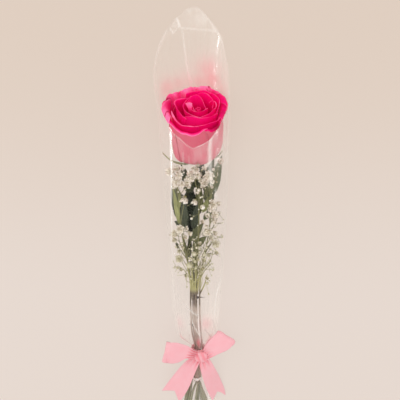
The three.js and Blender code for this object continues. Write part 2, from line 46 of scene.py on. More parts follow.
CAMERA_DISTANCE = 1150 * MM
CAMERA_LENS = 98.55

camera = bpy.data.objects.new("camera", bpy.data.cameras.new("camera"))
bpy.context.scene.collection.objects.link(camera)
camera.data.lens = CAMERA_LENS
camera.data.sensor_width = 36
camera.data.clip_start = 0.05
camera_back = Vector((0, math.sin(CAMERA_TIP), math.cos(CAMERA_TIP)))
camera_up = Vector((0, math.cos(CAMERA_TIP), -math.sin(CAMERA_TIP)))
camera_turn = Matrix((Vector((1, 0, 0)), camera_up, camera_back)).transposed()
camera.matrix_world = Matrix.Translation(LOOK_AT + CAMERA_DISTANCE * camera_back) @ camera_turn.to_4x4()
bpy.context.scene.camera = camera
bpy.context.scene.view_settings.view_transform = "Standard"
bpy.context.scene.cycles.transparent_max_bounces = 32

# The floor and the light: a pale beige studio floor, soft light from all round, a broad lamp from the upper
# left, and a long low lamp on each side whose reflections add to the bright lines painted along the film.
FLOOR_REACH = 1500 * MM
FLOOR_DROP = 0.2 * MM
FLOOR_UPPER = (0.270, 0.225, 0.1915)
FLOOR_LOWER = (0.289, 0.253, 0.230)
FLOOR_FADE = 2.8
FLOOR_CLOUD = 0.1
FLOOR_SHIFT = 0.28
FLOOR_DIM = 0.55
FLOOR_GLOW = 2.18
BLACK = (0.0, 0.0, 0.0)
ROOM_COLOUR = (1.0, 0.97, 0.94)
ROOM_STRENGTH = 0.98

# A lamp is (name, place, aim, width, length, power, whether it lights only what is glossy).
LAMPS = [
    ("lamp_key", (-1300, 1500, 3000), (0, 0, 0), 1600, 1600, 20, False),
    ("lamp_left", (-420, 20, 60), (0, 20, 40), 12, 620, 0.7, True),
    ("lamp_right", (420, 20, 60), (0, 20, 40), 10, 620, 0.3, True),
]


class Value:
    """An output of a shader node. Plain arithmetic on it adds Math nodes to the same material."""

    def __init__(self, finish, socket):
        self.finish, self.socket = finish, socket

    def math(self, operation, *others):
        return self.finish.node("Math", {"operation": operation}, dict(enumerate((self, *others))))

    def __add__(self, other):
        return self.math("ADD", other)

    def __sub__(self, other):
        return self.math("SUBTRACT", other)

    def __rsub__(self, other):
        return self.finish.node("Math", {"operation": "SUBTRACT"}, {0: other, 1: self})

    def __mul__(self, other):
        return self.math("MULTIPLY", other)

    def between(self, low, high):
        """0 below low, 1 above high, and smooth in between."""
        limits = {"Value": self, "From Min": low, "From Max": high}
        return self.finish.node("MapRange", {"interpolation_type": "SMOOTHSTEP"}, limits)


class Finish:
    """A material under way."""

    def __init__(self, name):
        self.material = bpy.data.materials.new(name)
        self.material.use_nodes = True
        self.tree = self.material.node_tree
        self.tree.nodes.clear()

    def node(self, kind, settings=None, values=None, take=0):
        """Adds a node of a type, its settings first and then its sockets, and gives one output."""
        made = self.tree.nodes.new("ShaderNode" + kind)
        for key, value in (settings or {}).items():
            setattr(made, key, value)
        for key, value in (values or {}).items():
            if isinstance(value, Value):
                self.tree.links.new(value.socket, made.inputs[key])
            else:
                made.inputs[key].default_value = value
        return Value(self, made.outputs[take]) if len(made.outputs) else None

    def place(self, stretch=(1, 1, 1)):
        """Where a point is on the object, stretched."""
        return self.node("Mapping", None, {"Vector": self.node("TexCoord", take=3), "Scale": stretch})

    def lay(self, stretch=(1, 1, 1)):
        """Where a point is along the piece's own surface, stretched."""
        here = self.node("UVMap", {"uv_map": "lay"})
        return self.node("Mapping", None, {"Vector": here, "Scale": stretch})

    def axis(self, place, number):
        """One coordinate of a place."""
        return self.node("SeparateXYZ", None, {"Vector": place}, take=number)

    def noise(self, place, detail=2.0, rough=0.5, scale=1.0):
        """Soft spots over a place."""
        sockets = {"Vector": place, "Scale": scale, "Detail": detail, "Roughness": rough}
        return self.node("TexNoise", None, sockets)

    def grain(self, stretch, *more):
        """Noise in the object's own space, stretched."""
        return self.noise(self.place(stretch), *more)

    def told(self, name):
        """A number that the mesh carries for each of its points."""
        return self.node("Attribute", {"attribute_name": name}, take=2)

    def mix(self, share, first, second):
        """A colour on its way from the first to the second."""
        first, second = (c if isinstance(c, Value) else (*c, 1) for c in (first, second))
        return self.node("Mix", {"data_type": "RGBA"}, {0: share, 6: first, 7: second}, take=2)

    def coats(self, tone, *laid):
        """A colour under further ones, each laid over the ones before it: (share, colour)."""
        for share, colour in laid:
            tone = self.mix(share, tone, colour)
        return tone

    def bump(self, height, depth, strength=1.0):
        """A surface raised by a height, for Normal."""
        return self.node("Bump", None, {"Height": height, "Distance": depth, "Strength": strength})

    def done(self, **sockets):
        """Closes the material with one main shader; a _ in a name stands for a space."""
        values = {name.replace("_", " "): value for name, value in sockets.items()}
        for name, value in values.items():
            if isinstance(value, tuple) and name != "Subsurface Radius":
                values[name] = (*value, 1)
        self.node("OutputMaterial", None, {"Surface": self.node("BsdfPrincipled", None, values)})
        return self.material


floor_finish = Finish("floor")
floor_grain = floor_finish.noise(floor_finish.place(), scale=6.0)
floor_along = floor_finish.axis(floor_finish.place(), 1)
floor_share = (floor_along * FLOOR_FADE + floor_grain * FLOOR_CLOUD + FLOOR_SHIFT).between(0.0, 1.0)
floor_tone = floor_finish.mix(floor_share, FLOOR_LOWER, FLOOR_UPPER)
floor_signs = ((-1, -1), (1, -1), (1, 1), (-1, 1))
floor_corners = [(x * FLOOR_REACH, y * FLOOR_REACH, -FLOOR_DROP) for x, y in floor_signs]
floor_mesh = bpy.data.meshes.new("floor")
floor_mesh.from_pydata(floor_corners, [], [(0, 1, 2, 3)])
floor_mesh.materials.append(floor_finish.done(
    Base_Color=floor_finish.mix(FLOOR_DIM, floor_tone, BLACK), Roughness=0.85,
    Emission_Color=floor_tone, Emission_Strength=FLOOR_GLOW))
floor = bpy.data.objects.new("floor", floor_mesh)
bpy.context.scene.collection.objects.link(floor)

world = bpy.data.worlds.new("room")
world.use_nodes = True
world.node_tree.nodes["Background"].inputs["Color"].default_value = (*ROOM_COLOUR, 1)
world.node_tree.nodes["Background"].inputs["Strength"].default_value = ROOM_STRENGTH
bpy.context.scene.world = world


def lamp(name, place, aim, width, length, power, only_gloss):
    """A soft rectangular lamp at a place, turned to aim at a point; its length runs along the rose."""
    data = bpy.data.lights.new(name, "AREA")
    data.shape = "RECTANGLE"
    data.size, data.size_y, data.energy = width * MM, length * MM, power
    made = bpy.data.objects.new(name, data)
    bpy.context.scene.collection.objects.link(made)
    place, aim = Vector(place) * MM, Vector(aim) * MM
    away = (place - aim).normalized()
    across = Vector((0, 1, 0)).cross(away).normalized()
    turn = Matrix((across, away.cross(across), away)).transposed()
    made.matrix_world = Matrix.Translation(place) @ turn.to_4x4()
    made.visible_diffuse = not only_gloss


for plan in LAMPS:
    lamp(*plan)

# The bloom: thick soft petals round a tight bud, each one standing on the core at its own height. The rims
# roll outwards and are painted pale as a highlight, and deep crimson is painted down between them as shade.
BLOOM_FOOT = np.array([2.8, 84.7, 20.4])
BLOOM_RIM = np.array([-1, 145.2, 41.2])
BLOOM_PROFILE = [(0, 5), (3, 12.5), (8, 19.5), (14, 23.5), (24, 25.7), (34, 26), (44, 26.5), (54, 27.4),
                 (64, 28.6)]
PETAL_WALL = 0.45
PETAL_GRID = (30, 26)
LIP_SHARE = 0.24
LIP_SIZE = 0.42
LIP_BACK = 1.1
LIP_DROP = 0.9
LIP_REACH = 1.15
BELLY_SHARE = 0.55
OUTER_RUFFLE = 0.5


def unit(vectors):
    """Vectors, each made one long."""
    return vectors / np.maximum(np.linalg.norm(vectors, axis=-1, keepdims=True), 1e-9)


bloom_axis = unit(BLOOM_RIM - BLOOM_FOOT)
bloom_side = unit(np.array([1.0, 0, 0]) - bloom_axis * bloom_axis[0])
bloom_under = np.cross(bloom_axis, bloom_side)


def on_bloom(flat):
    """Points given as (across, under, up the axis) of the bloom, in the part's own frame."""
    return BLOOM_FOOT + flat @ np.array([bloom_side, bloom_under, bloom_axis])


def round_axis(degrees, radius, height):
    """Points round the bloom's axis, as on_bloom takes them."""
    angle = np.radians(degrees)
    return np.stack(np.broadcast_arrays(radius * np.cos(angle), radius * np.sin(angle), height), axis=-1)


def loft(curves, counts):
    """Rows over points or lines laid one after another, so many rows from each one to the next."""
    curves = np.array(curves, float)
    curves = np.concatenate([2 * curves[:1] - curves[1:2], curves, 2 * curves[-1:] - curves[-2:-1]])
    rows = []
    for before, start, end, after, count in zip(curves, curves[1:], curves[2:], curves[3:], counts):
        t = np.linspace(0, 1, count, endpoint=False).reshape(-1, *[1] * start.ndim)
        rows.append(0.5 * (
            2 * start + (end - before) * t + (2 * before - 5 * start + 4 * end - after) * t ** 2
            + (3 * start - before - 3 * end + after) * t ** 3))
    return np.concatenate([*rows, curves[-2:-1]])


def run_along(line):
    """How far along a line each of its points is."""
    return np.concatenate([[0], np.cumsum(np.linalg.norm(np.diff(line[:, :3], axis=0), axis=1))])


def through(points, count):
    """A smooth line through a few points, as so many points evenly spaced along it."""
    fine = loft(points, [24] * (len(points) - 1))
    run = run_along(fine)
    return np.stack([np.interp(np.linspace(0, run[-1], count), run, column) for column in fine.T], axis=-1)


def quads(grid):
    """The four corners of every cell of a grid."""
    cells = np.stack([grid[:-1, :-1], grid[:-1, 1:], grid[1:, 1:], grid[1:, :-1]], axis=2)
    return cells.reshape(-1, *cells.shape[2:])


def sheet(front, back, wrapped=False, **told):
    """A thin closed sheet between two faces, each rows by columns of points; wrapped, it is a tube. What is
    told goes with each point."""
    rows, columns = front.shape[:2]
    deep = rows * columns
    at = np.arange(deep).reshape(rows, columns)
    if wrapped:
        at = np.hstack([at, at[:, :1]])
    spans = at.shape[1] - 1
    lay = np.stack(np.meshgrid(np.arange(spans + 1) / spans, np.arange(rows) / (rows - 1)), axis=-1)
    faces, places = [quads(at), deep + quads(at)[:, ::-1]], [quads(lay), quads(lay)[:, ::-1]]
    edges = [(np.s_[0, :], [0, 3, 2, 1]), (np.s_[-1, :], [0, 1, 2, 3])]
    if not wrapped:
        edges += [(np.s_[:, 0], [1, 2, 3, 0]), (np.s_[:, -1], [3, 2, 1, 0])]
    for edge, order in edges:
        faces.append(quads(np.stack([at[edge], deep + at[edge]]))[:, order])
        places.append(quads(np.stack([lay[edge], lay[edge]]))[:, order])
    told = {fact: np.tile(np.broadcast_to(value, (rows, columns)).ravel(), 2)
            for fact, value in told.items()}
    told["inside"] = np.repeat([0.0, 1.0], deep)
    points = np.concatenate([front.reshape(-1, 3), back.reshape(-1, 3)])
    return {"points": points, "faces": np.concatenate(faces), "lay": np.concatenate(places), "told": told}


def normals(face):
    """The way that a face looks at each of its points."""
    return unit(np.cross(np.gradient(face, axis=1), np.gradient(face, axis=0)))


def skin(face, wall, **told):
    """A sheet behind one face, as thick as the wall."""
    return sheet(face, face - normals(face) * wall, **told)


def tell(mesh, fact, values):
    """Gives each point of a mesh a number that its material or its tree of nodes can ask for."""
    mesh.attributes.new(fact, "FLOAT", "POINT").data.foreach_set("value", np.array(values, np.float32))


def mesh_of(name, parts):
    """A smooth mesh, in metres, of sheets in millimetres."""
    starts = np.cumsum([0] + [len(part["points"]) for part in parts])
    faces = np.concatenate([part["faces"] + start for part, start in zip(parts, starts)])
    lay = np.concatenate([part["lay"] for part in parts])
    mesh = bpy.data.meshes.new(name)
    mesh.from_pydata((np.concatenate([part["points"] for part in parts]) * MM).tolist(), [], faces.tolist())
    mesh.uv_layers.new(name="lay").data.foreach_set("uv", lay.astype(np.float32).ravel())
    for fact in sorted({fact for part in parts for fact in part["told"]}):
        values = [part["told"].get(fact, np.zeros(len(part["points"]))) for part in parts]
        tell(mesh, fact, np.concatenate(values))
    mesh.shade_smooth()
    return mesh


def show(name, made, material, slot, *nodes):
    """Puts a piece in the scene, made of sheets or a finished mesh, in place of CAD nodes."""
    mesh = mesh_of(name, made) if isinstance(made, list) else made
    piece = bpy.data.objects.new(name, mesh)
    bpy.context.scene.collection.objects.link(piece)
    mesh.materials.clear()
    mesh.materials.append(material)
    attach(piece, "root")
    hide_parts(*nodes)
    return piece


def petal(rim, facing, base, belly, roll=70, ruffle=0.3, middle=(0, 0), seed=0, pale=0.5, lift=1.0):
    """One petal. Its rim is (degrees, radius, height, lip radius) from one side to the other; it rises from
    an arc at its base over one at its belly, each (radius, height, half spread), and its lip rolls out."""
    rows, columns = PETAL_GRID
    line = through([(*round_axis(*place), lip) for *place, lip in rim], columns)
    lip = line[:, 3:] * LIP_SIZE
    across = np.linspace(-1, 1, columns)
    low, high = (round_axis(facing + spread * across, radius, height)
                 for radius, height, spread in (base, belly))
    high[:, :2] += middle
    out = unit(np.concatenate([high[:, :2] - middle, np.zeros((columns, 1))], axis=1))
    neck = line[:, :3] - lip * out * LIP_BACK - lip * np.array([0, 0, LIP_DROP])
    body = round((1 - LIP_SHARE) * rows)
    t = np.linspace(0, 1, body)[:, None, None]
    hold = BELLY_SHARE
    face = (low * (t - hold) * (t - 1) / hold + high * t * (1 - t) / (hold * (1 - hold))
            + neck * t * (t - hold) / (1 - hold))
    lean = unit(face[-1] - face[-2])
    turn = np.radians(np.linspace(0, roll, rows - body + 1)[1:])[:, None, None]
    away = unit(out - lean * np.sum(out * lean, axis=1, keepdims=True))
    lipped = face[-1] + lip * (away * (1 - np.cos(turn)) + lean * np.sin(turn)) * LIP_REACH
    face = np.concatenate([face, lipped])
    t = np.linspace(0, 1, rows)[:, None]
    wave = np.sin(5 * across + 7 * seed) + 0.6 * np.sin(11 * across + 3 * seed + 4 * t)
    face = on_bloom(face + normals(face) * (ruffle * wave * t ** 3)[..., None])
    # The lip share is a painted highlight on the rolled lip, set in strength for each petal.
    lip_share = np.clip((t - 1 + LIP_SHARE) / LIP_SHARE, 0, 1)
    fade = 0.7 + 0.3 * np.sin(4.1 * across + 5 * seed)
    return skin(face, PETAL_WALL * (1.4 - 0.8 * t)[..., None],
                height=np.minimum(t * lift, 1), lip=lip_share * pale * fade)


HEART = {"start": 40, "turn": 560, "radii": (0.8, 4.4), "base": 44, "top": (63.4, 61), "middle": (3.2, 3.6)}
heart_turn = np.linspace(0, 1, 56)
heart_rise = np.linspace(0, 1, 16)[:, None]
heart_radius = np.interp(heart_turn, [0, 1], HEART["radii"]) * (1 + 0.06 * np.sin(9 * heart_turn))
heart_top = np.interp(heart_turn, [0, 1], HEART["top"]) + 0.5 * np.sin(14 * heart_turn)
heart_face = round_axis(
    HEART["start"] + HEART["turn"] * heart_turn,
    heart_radius * (0.75 + 0.55 * heart_rise - 0.42 * heart_rise ** 6),
    HEART["base"] + (heart_top - HEART["base"]) * heart_rise)
heart_face[..., :2] += HEART["middle"]
# The top of the heart takes a faint painted highlight.
heart = skin(on_bloom(heart_face), PETAL_WALL, height=heart_rise * 0.8, lip=0.2 * heart_rise ** 12)

INNER_MIDDLE = (2.5, 3.0)
BUD_PETALS = [
    ([(106, 14.7, 64.5, 1.5), (125, 12.9, 65, 2.2), (141, 8.9, 64.5, 1.6), (164, 4.1, 63.5, 0.5),
      (270, 2.4, 63, 0.4), (317, 5.3, 62.5, 0.4)], 210, (4, 40, 50), (6.4, 53, 75),
     {"roll": 100, "ruffle": 0.1}),
    ([(113, 6.4, 64, 0.4), (232, 1.5, 64, 0.5), (298, 4.3, 64, 0.5), (328, 7.1, 64, 0.5),
      (345, 9.8, 64.5, 0.5), (362, 13, 65, 0.5)], 295, (5, 40, 55), (9.5, 52, 70), {"ruffle": 0.15}),
    ([(-5, 11.1, 65, 0.4), (36, 11.3, 66.5, 0.5), (67, 15.7, 67.5, 0.5), (83, 18.2, 68, 0.6),
      (96, 17.7, 68, 0.6), (113, 14.7, 67, 0.5), (132, 11.6, 66, 0.5)], 75, (6, 40, 60), (10, 52, 75),
     {"ruffle": 0.15, "lift": 1.15}),
    ([(-2, 18, 65.5, 0.5), (22, 20.1, 66.5, 0.6), (42, 21.7, 67.5, 0.8), (61, 23.2, 68, 0.9),
      (74, 22.2, 68, 0.8), (86, 19.6, 67.5, 0.5)], 45, (8, 38, 50), (14.5, 52, 50),
     {"ruffle": 0.2, "lift": 1.25}),
    ([(291, 14.2, 64, 0.5), (312, 14.9, 64.5, 0.6), (333, 16.7, 65, 0.8), (354, 20.1, 65.5, 1.3),
      (366, 22.1, 66, 1.7), (379, 22.3, 66.5, 1.9), (389, 20, 66.5, 0.9), (389, 16.1, 66, 0.4)], 345,
     (8, 38, 50), (16, 51, 60), {"ruffle": 0.2, "lift": 1.2}),
    ([(92, 18.9, 67.5, 0.5), (106, 17.3, 67, 0.6), (130, 14.6, 66.5, 0.8), (158, 13.1, 66, 0.8),
      (188, 10.9, 65.5, 0.6), (223, 9.3, 65, 0.5), (265, 10.4, 64.5, 0.5), (294, 14.6, 64, 0.5)], 185,
     (8, 38, 60), (13, 50, 90), {"ruffle": 0.2}),
]
INNER_PETALS = [
    ([(113, 17.8, 66, 0.8), (131, 21.5, 65.5, 2.0), (141, 24.5, 65, 2.4), (153, 23.2, 64.5, 1.8),
      (173, 18, 64, 0.6), (203, 15, 63.5, 0.5), (236, 16, 63, 0.5)], 170, (10, 36, 50), (18.5, 49, 60),
     {"roll": 110}),
    ([(220, 16.6, 63.5, 0.5), (236, 12.3, 64, 0.5), (266, 11.8, 64, 0.6), (290, 14.9, 64, 0.6),
      (309, 17.5, 64, 0.6), (326, 20.4, 64, 0.7), (344, 24.2, 63.5, 0.7)], 282, (10, 34, 50),
     (19.5, 47, 62), {"ruffle": 0.25}),
    ([(335, 21.8, 63.5, 0.6), (355, 22.9, 64, 0.7), (375, 25.5, 65, 0.9), (389, 27.4, 66, 1.1),
      (405, 27.4, 66.5, 1.2), (421, 27.5, 67, 1)], 20, (11, 35, 45), (20.5, 49, 50),
     {"roll": 100, "lift": 1.25}),
    ([(52, 26.3, 67, 1), (65, 26.6, 67.5, 1.3), (80, 25.3, 67.5, 1.4), (97, 25, 67, 1.2),
      (112, 24.1, 66.5, 0.8)], 85, (11, 35, 45), (19.5, 50, 42), {"roll": 110}),
    ([(178, 23.6, 63, 1.0), (196, 23.2, 62.5, 2.6), (216, 23.3, 62, 2.9), (236, 24.4, 62, 2.1),
      (251, 24.2, 62, 1.2), (265, 24.1, 62, 0.8), (279, 23.7, 62, 0.6)], 228, (13, 32, 45), (23, 45, 50),
     {"ruffle": 0.35, "roll": 125, "pale": 0.8}),
    ([(253, 23.1, 61.5, 0.6), (270, 24.2, 62, 0.9), (287, 23.6, 62, 1), (302, 23.9, 62, 1),
      (315, 26.2, 62, 1.2), (328, 27.6, 62, 1.3), (344, 26.7, 62.5, 1)], 300, (13, 31, 45), (22.6, 44, 50),
     {"ruffle": 0.45, "roll": 115, "pale": 0.42}),
]
bud_petals = [petal(*plan, middle=INNER_MIDDLE, seed=seed, **more)
              for seed, (*plan, more) in enumerate(BUD_PETALS, 1)]
inner_petals = [petal(*plan, seed=seed, **more) for seed, (*plan, more) in enumerate(INNER_PETALS, 7)]

OUTER_HEIGHTS = [(0.8, 0.8), (8, 0.95), (20, 1), (34, 1), (46, 0.96)]
OUTER_COUNTS = (3, 5, 5, 5, 5, 4, 5, 3)
OUTER_SPIRAL = 0.65
BULGE = {"size": 4.0, "degrees": 200, "degrees_wide": 32, "height": 9, "height_wide": 7}
TUCK_SPAN = (0.52, 0.76)


def ramp(value, start, width):
    """0 up to a start, and 1 from a width beyond it."""
    return np.clip((value - start) / width, 0, 1)


def outer_petal(rim, neck, heights, facing, half, seed, crest=2.0, pale=0.6, deep=0.66, dusk=(), tuck=2.0):
    """A petal of the outermost ring, which makes the bloom's outside from its foot up. Its lip flares from
    the neck over a crest to the rim; both are (degrees, radius), and heights are those of rim and neck."""
    columns = 30
    across = np.linspace(-1, 1, columns)
    rim, neck = (through([round_axis(degrees, radius, height) for degrees, radius in line], columns)
                 for line, height in zip((rim, neck), heights))
    low = []
    for height, share in OUTER_HEIGHTS:
        degrees = facing + half * share * across
        fuller = BULGE["size"] * np.exp(-((degrees - BULGE["degrees"]) / BULGE["degrees_wide"]) ** 2
                                        - ((height - BULGE["height"]) / BULGE["height_wide"]) ** 2)
        radius = np.interp(height, *zip(*BLOOM_PROFILE)) + OUTER_SPIRAL * across + fuller
        low.append(round_axis(degrees, radius, height))
    wave = np.sin(4.3 * across + 7 * seed) + 0.6 * np.sin(9.7 * across + 3 * seed)
    wave = (wave + 0.35 * np.sin(19 * across + seed)) * OUTER_RUFFLE
    rim[:, 2] += wave * 1.6
    top = 0.42 * neck + 0.58 * rim
    top[:, 2] = heights[0] + crest + wave
    under = rim + (rim - neck) * 0.05
    under[:, 2] = rim[:, 2] - 0.5 * crest - 0.5
    face = on_bloom(loft([*low, neck, top, rim, under], OUTER_COUNTS))
    t = np.linspace(0, 1, len(face))[:, None]
    side = ramp(np.abs(across), 0.9, 0.1)
    wall = PETAL_WALL * ((1.6 - 1.0 * t) * (1 - 0.5 * side))[..., None]
    fade = 0.78 + 0.22 * np.sin(3.7 * across + 5 * seed)
    # The lip share is a painted highlight from the neck over the crest, and along the side edges.
    lip = np.maximum(ramp(t, deep, 1 - deep) * pale * fade, side * t ** 3 * 0.5)
    # Dark crimson patches given per petal are painted shade, in its notches and in the gaps between petals.
    shade = sum((share * np.exp(-((across - at) / width) ** 2) for at, width, share in dusk), 0 * across)
    tuck = ramp(across, tuck, 0.1) * ramp(t, TUCK_SPAN[0], 0.05) * np.clip((TUCK_SPAN[1] - t) / 0.05, 0, 1)
    return skin(face, wall, height=t, lip=lip, dusk=shade * ramp(t, 0.5, 0.15), tuck=tuck)


FLAP = [[(150, 8, 54), (150, 6, 54), (146, 4, 54)], [(158, 7.6, 63.2), (168, 5.0, 63.4), (144, 3.4, 64)],
        [(137, 13.2, 65.4), (123, 10.8, 66.4), (109, 8.3, 66.2)]]
flap_face = on_bloom(loft([through([round_axis(*place) for place in edge], 16) for edge in FLAP], (5, 10)))
flap_rise = np.linspace(0, 1, len(flap_face))[:, None]
# The flap is painted with a highlight that grows towards its upper edge.
flap = skin(flap_face, PETAL_WALL, height=0.6 + 0.4 * flap_rise, lip=0.62 * flap_rise ** 1.2)

OUTER_PETALS = [
    ([(62, 33.5), (69, 34.7), (78, 34.4), (88, 33), (97, 31.6)], [(59, 29.2), (67, 29.8), (80, 28.7),
      (92, 28.1)], (65.5, 61.5), 82, 44, {"crest": 1.8, "pale": 1.3, "deep": 0.5}),
    ([(86, 29.8), (94, 33.5), (102, 34.9), (109, 33.8), (118, 30.4)], [(91, 28.5), (102, 26.5), (111, 26.3),
      (122, 26.9)], (64.5, 60.5), 104, 42, {"crest": 2.4, "pale": 1.3, "deep": 0.5}),
    ([(36, 32.2), (50, 33.3), (60, 34.2), (67, 35.2), (70, 33.4)], [(46, 30), (60, 29.9), (67, 29.3)],
     (66, 61), 54, 42, {"crest": 0.8, "pale": 0.75, "deep": 0.52, "dusk": [(0.78, 0.26, 0.9)]}),
    ([(108, 32.3), (114, 34.5), (122, 34.4), (132, 32.3)], [(116, 26), (128, 26.9), (134, 27.8)],
     (63.5, 59.5), 122, 40, {"crest": 1.2, "pale": 0.7, "deep": 0.5}),
    ([(120, 34.4), (130, 36.7), (138, 37.2), (147, 35.5)], [(128, 28.9), (136, 30), (142, 31.1)],
     (62.5, 58.5), 140, 42, {"crest": 2.8, "pale": 1.0, "deep": 0.52, "dusk": [(1.0, 0.25, 0.7)]}),
    ([(139, 36.7), (146, 37.3), (153, 36.6), (163, 34.2)], [(137, 32.7), (143, 33.6), (147, 33)],
     (60.5, 56), 152, 40, {"crest": 0.2, "pale": 0.2, "dusk": [(-0.6, 0.5, 0.75)]}),
    ([(1, 31.6), (11, 32.8), (25, 33.2), (38, 33.7), (45, 33)], [(20, 25.8), (39, 28.2), (51, 30.3)],
     (65, 60), 22, 44, {"crest": 1.8, "pale": 0.4}),
    ([(151, 32.5), (159, 35.3), (168, 33.7), (180, 31.5), (194, 29.7), (209, 28.9)], [(136, 31.4),
      (147, 29.9), (162, 26.8), (179, 24.4), (195, 22.6)], (61.5, 57), 176, 46,
     {"crest": 3.0, "pale": 1.35, "dusk": [(0.4, 0.06, 0.9)], "tuck": 0.42}),
    ([(331, 29.8), (347, 30), (358, 31), (371, 32.4), (375, 29.5)], [(333, 24.8), (346, 23.7), (361, 24.6),
      (375, 25.8), (388, 27.5)], (62.5, 58), 352, 44,
     {"crest": 1.2, "pale": 0.4, "deep": 0.75, "dusk": [(-0.45, 0.4, 0.5)]}),
    ([(288, 29.6), (293, 31.6), (298, 35), (305, 35), (316, 32.5), (332, 28.4), (339, 28)], [(290, 27.4),
      (300, 28), (312, 28.3), (320, 27.8), (342, 26)], (60.5, 55), 316, 42,
     {"crest": -0.2, "pale": 0.35, "deep": 0.86, "dusk": [(0.0, 0.55, 1.0)]}),
    ([(190, 28.2), (197, 28.7), (216, 29.5), (229, 30), (244, 32), (254, 32.7), (266, 33.5), (275, 32.4),
      (287, 29.5), (295, 29.3)], [(186, 25), (195, 24.9), (210, 25.5), (229, 27.4), (245, 29), (258, 29.8),
      (270, 29.8), (282, 28.8), (294, 27.6)], (60, 55.5), 244, 54,
     {"crest": 0.6, "pale": 1.05, "deep": 0.8}),
]
outer_petals = [outer_petal(*plan, seed, **more) for seed, (*plan, more) in enumerate(OUTER_PETALS, 13)]

PETAL_SHADE_AND_VEIN = (0.52, 0.0, 0.055)
PETAL_HOT = (0.80, 0.001, 0.15)
PETAL_LIT = (0.98, 0.19, 0.41)
PETAL_BACK = (0.57, 0.13, 0.18)
PETAL_PAINTED_SHADE = (0.34, 0.0, 0.04)
PETAL_TUCK = (0.85, 0.015, 0.13)
PETAL_FOOT = (0.52, 0.42, 0.22)
PETAL_DOWN = (1.0, 0.55, 0.72)
PETAL_GLOW = (1.0, 0.25, 0.45)


def petal_finish(name, outermost):
    """The petals' soft skin: crimson painted deep down inside as shade, hot pink above, a painted highlight
    on the lip, and paler on the outside.
    """
    finish = Finish(name)
    height, lip, inside = (finish.told(fact) for fact in ("height", "lip", "inside"))
    outside = 1 - inside.between(0.5, 1.0)
    veins = finish.noise(finish.lay((34, 1.6, 1)), 3.0)
    folds = finish.noise(finish.lay((5, 0.7, 1)))
    mottle = finish.grain((90, 90, 90))
    # Deep down the petals are painted crimson as shade and hot pink higher up; the lip is painted pale as a
    # highlight, broken up by soft noise; the veins are a darker crimson of their own.
    tone = finish.coats(
        PETAL_SHADE_AND_VEIN, (height.between(0.35, 0.9), PETAL_HOT),
        (lip.between(0.05, 0.65) * (folds + 0.4), PETAL_LIT),
        (veins.between(0.45, 0.85) * 0.25, PETAL_SHADE_AND_VEIN))
    if outermost:
        # On the outermost petals the dark crimson patches go on as painted shade.
        tone = finish.coats(
            tone, (finish.told("dusk"), PETAL_PAINTED_SHADE),
            (outside * (1 - lip.between(0.5, 0.95)) * (mottle * 0.3 + 0.78), PETAL_BACK),
            (outside * (1 - height.between(0.02, 0.11)) * 0.6, PETAL_FOOT),
            (finish.told("tuck") * outside * 0.9, PETAL_TUCK))
    # A faint glow of the petals' own colour is painted light that lifts their shaded depths.
    return finish.done(
        Base_Color=tone, Roughness=mottle * 0.1 + 0.58, Specular_IOR_Level=0.06,
        Sheen_Weight=0.03, Sheen_Roughness=0.5, Sheen_Tint=PETAL_DOWN,
        Subsurface_Weight=0.3, Subsurface_Scale=0.0018, Subsurface_Radius=PETAL_GLOW,
        Emission_Color=tone, Emission_Strength=0.2, Normal=finish.bump(veins, 0.0004, 0.5))


inner_material, outer_material = petal_finish("petal_inner", False), petal_finish("petal_outer", True)
show("petals_bud", [heart, flap, *bud_petals], inner_material, "petal", "bloom")
show("petals_inner", inner_petals, inner_material, "petal", "bloom")
show("petals_outer", outer_petals, outer_material, "petal", "bloom")

# The calyx: the green cup that holds the petals, and its five pointed sepals. Four lie against the bloom
# and one stands away from it to the left.
CUP_PROFILE = [(0.3, -10), (3.3, -9.9), (5.2, -7), (6, -4), (5.8, -1.8), (4.6, -0.5), (0.3, -0.5)]
CUP_SIDES = 24
CUP_WALL = 1.5
SEPALS = [(54, 25, 0), (126, 25, 0), (190, 40, 1), (270, 20, 0), (342, 20, 0)]
SEPAL_WALL = 0.5
SEPAL_HALF = (3.3, 4.6)
SEPAL_TAPER = (0.8, 0.6)
SEPAL_ACROSS = ((1.0, 0.0), (0.45, 0.75))


def cup_face(wall):
    """The cup's outside, or the face that lies a wall further in, down to a thin core."""
    profile = through([(*point, 0) for point in CUP_PROFILE], CUP_SIDES)
    degrees = np.linspace(0, 360, CUP_SIDES, endpoint=False)
    radius = np.maximum(profile[:, :1] - wall, 0.15) if wall else profile[:, :1]
    return on_bloom(round_axis(degrees, radius, profile[:, 1:2]))


def sepal(degrees, length, flare, rows=22, columns=9):
    """One sepal, from the cup's side up along the bloom, or away from it with a flare of 1, narrowing to a
    fine tip."""
    t, side = np.linspace(0, 1, rows)[:, None], np.linspace(-1, 1, columns)[None]
    rise = length * (0.88 * t ** 2 - 0.43 * t) if flare else 0.9 * length * t
    height = -3.5 + rise
    on_side = np.where(height > 0, np.interp(height, *zip(*BLOOM_PROFILE)) + 2.4, 5.5 + 2.2 * rise)
    radius = 5 + length * 0.8 * t if flare else np.minimum(on_side, 5 + 30 * t)
    radius = radius + 0.5 * side ** 2 + 0.5 * np.sin(9 * t + degrees) * t
    half = SEPAL_HALF[flare] * (1 - t) ** SEPAL_TAPER[flare] * (1 + 0.12 * np.sin(26 * t)) + 0.2
    across = round_axis(degrees + 90, *SEPAL_ACROSS[flare])
    face = round_axis(degrees, radius, height + 0 * side) + (side * half)[..., None] * across
    return skin(on_bloom(face), SEPAL_WALL, height=t)


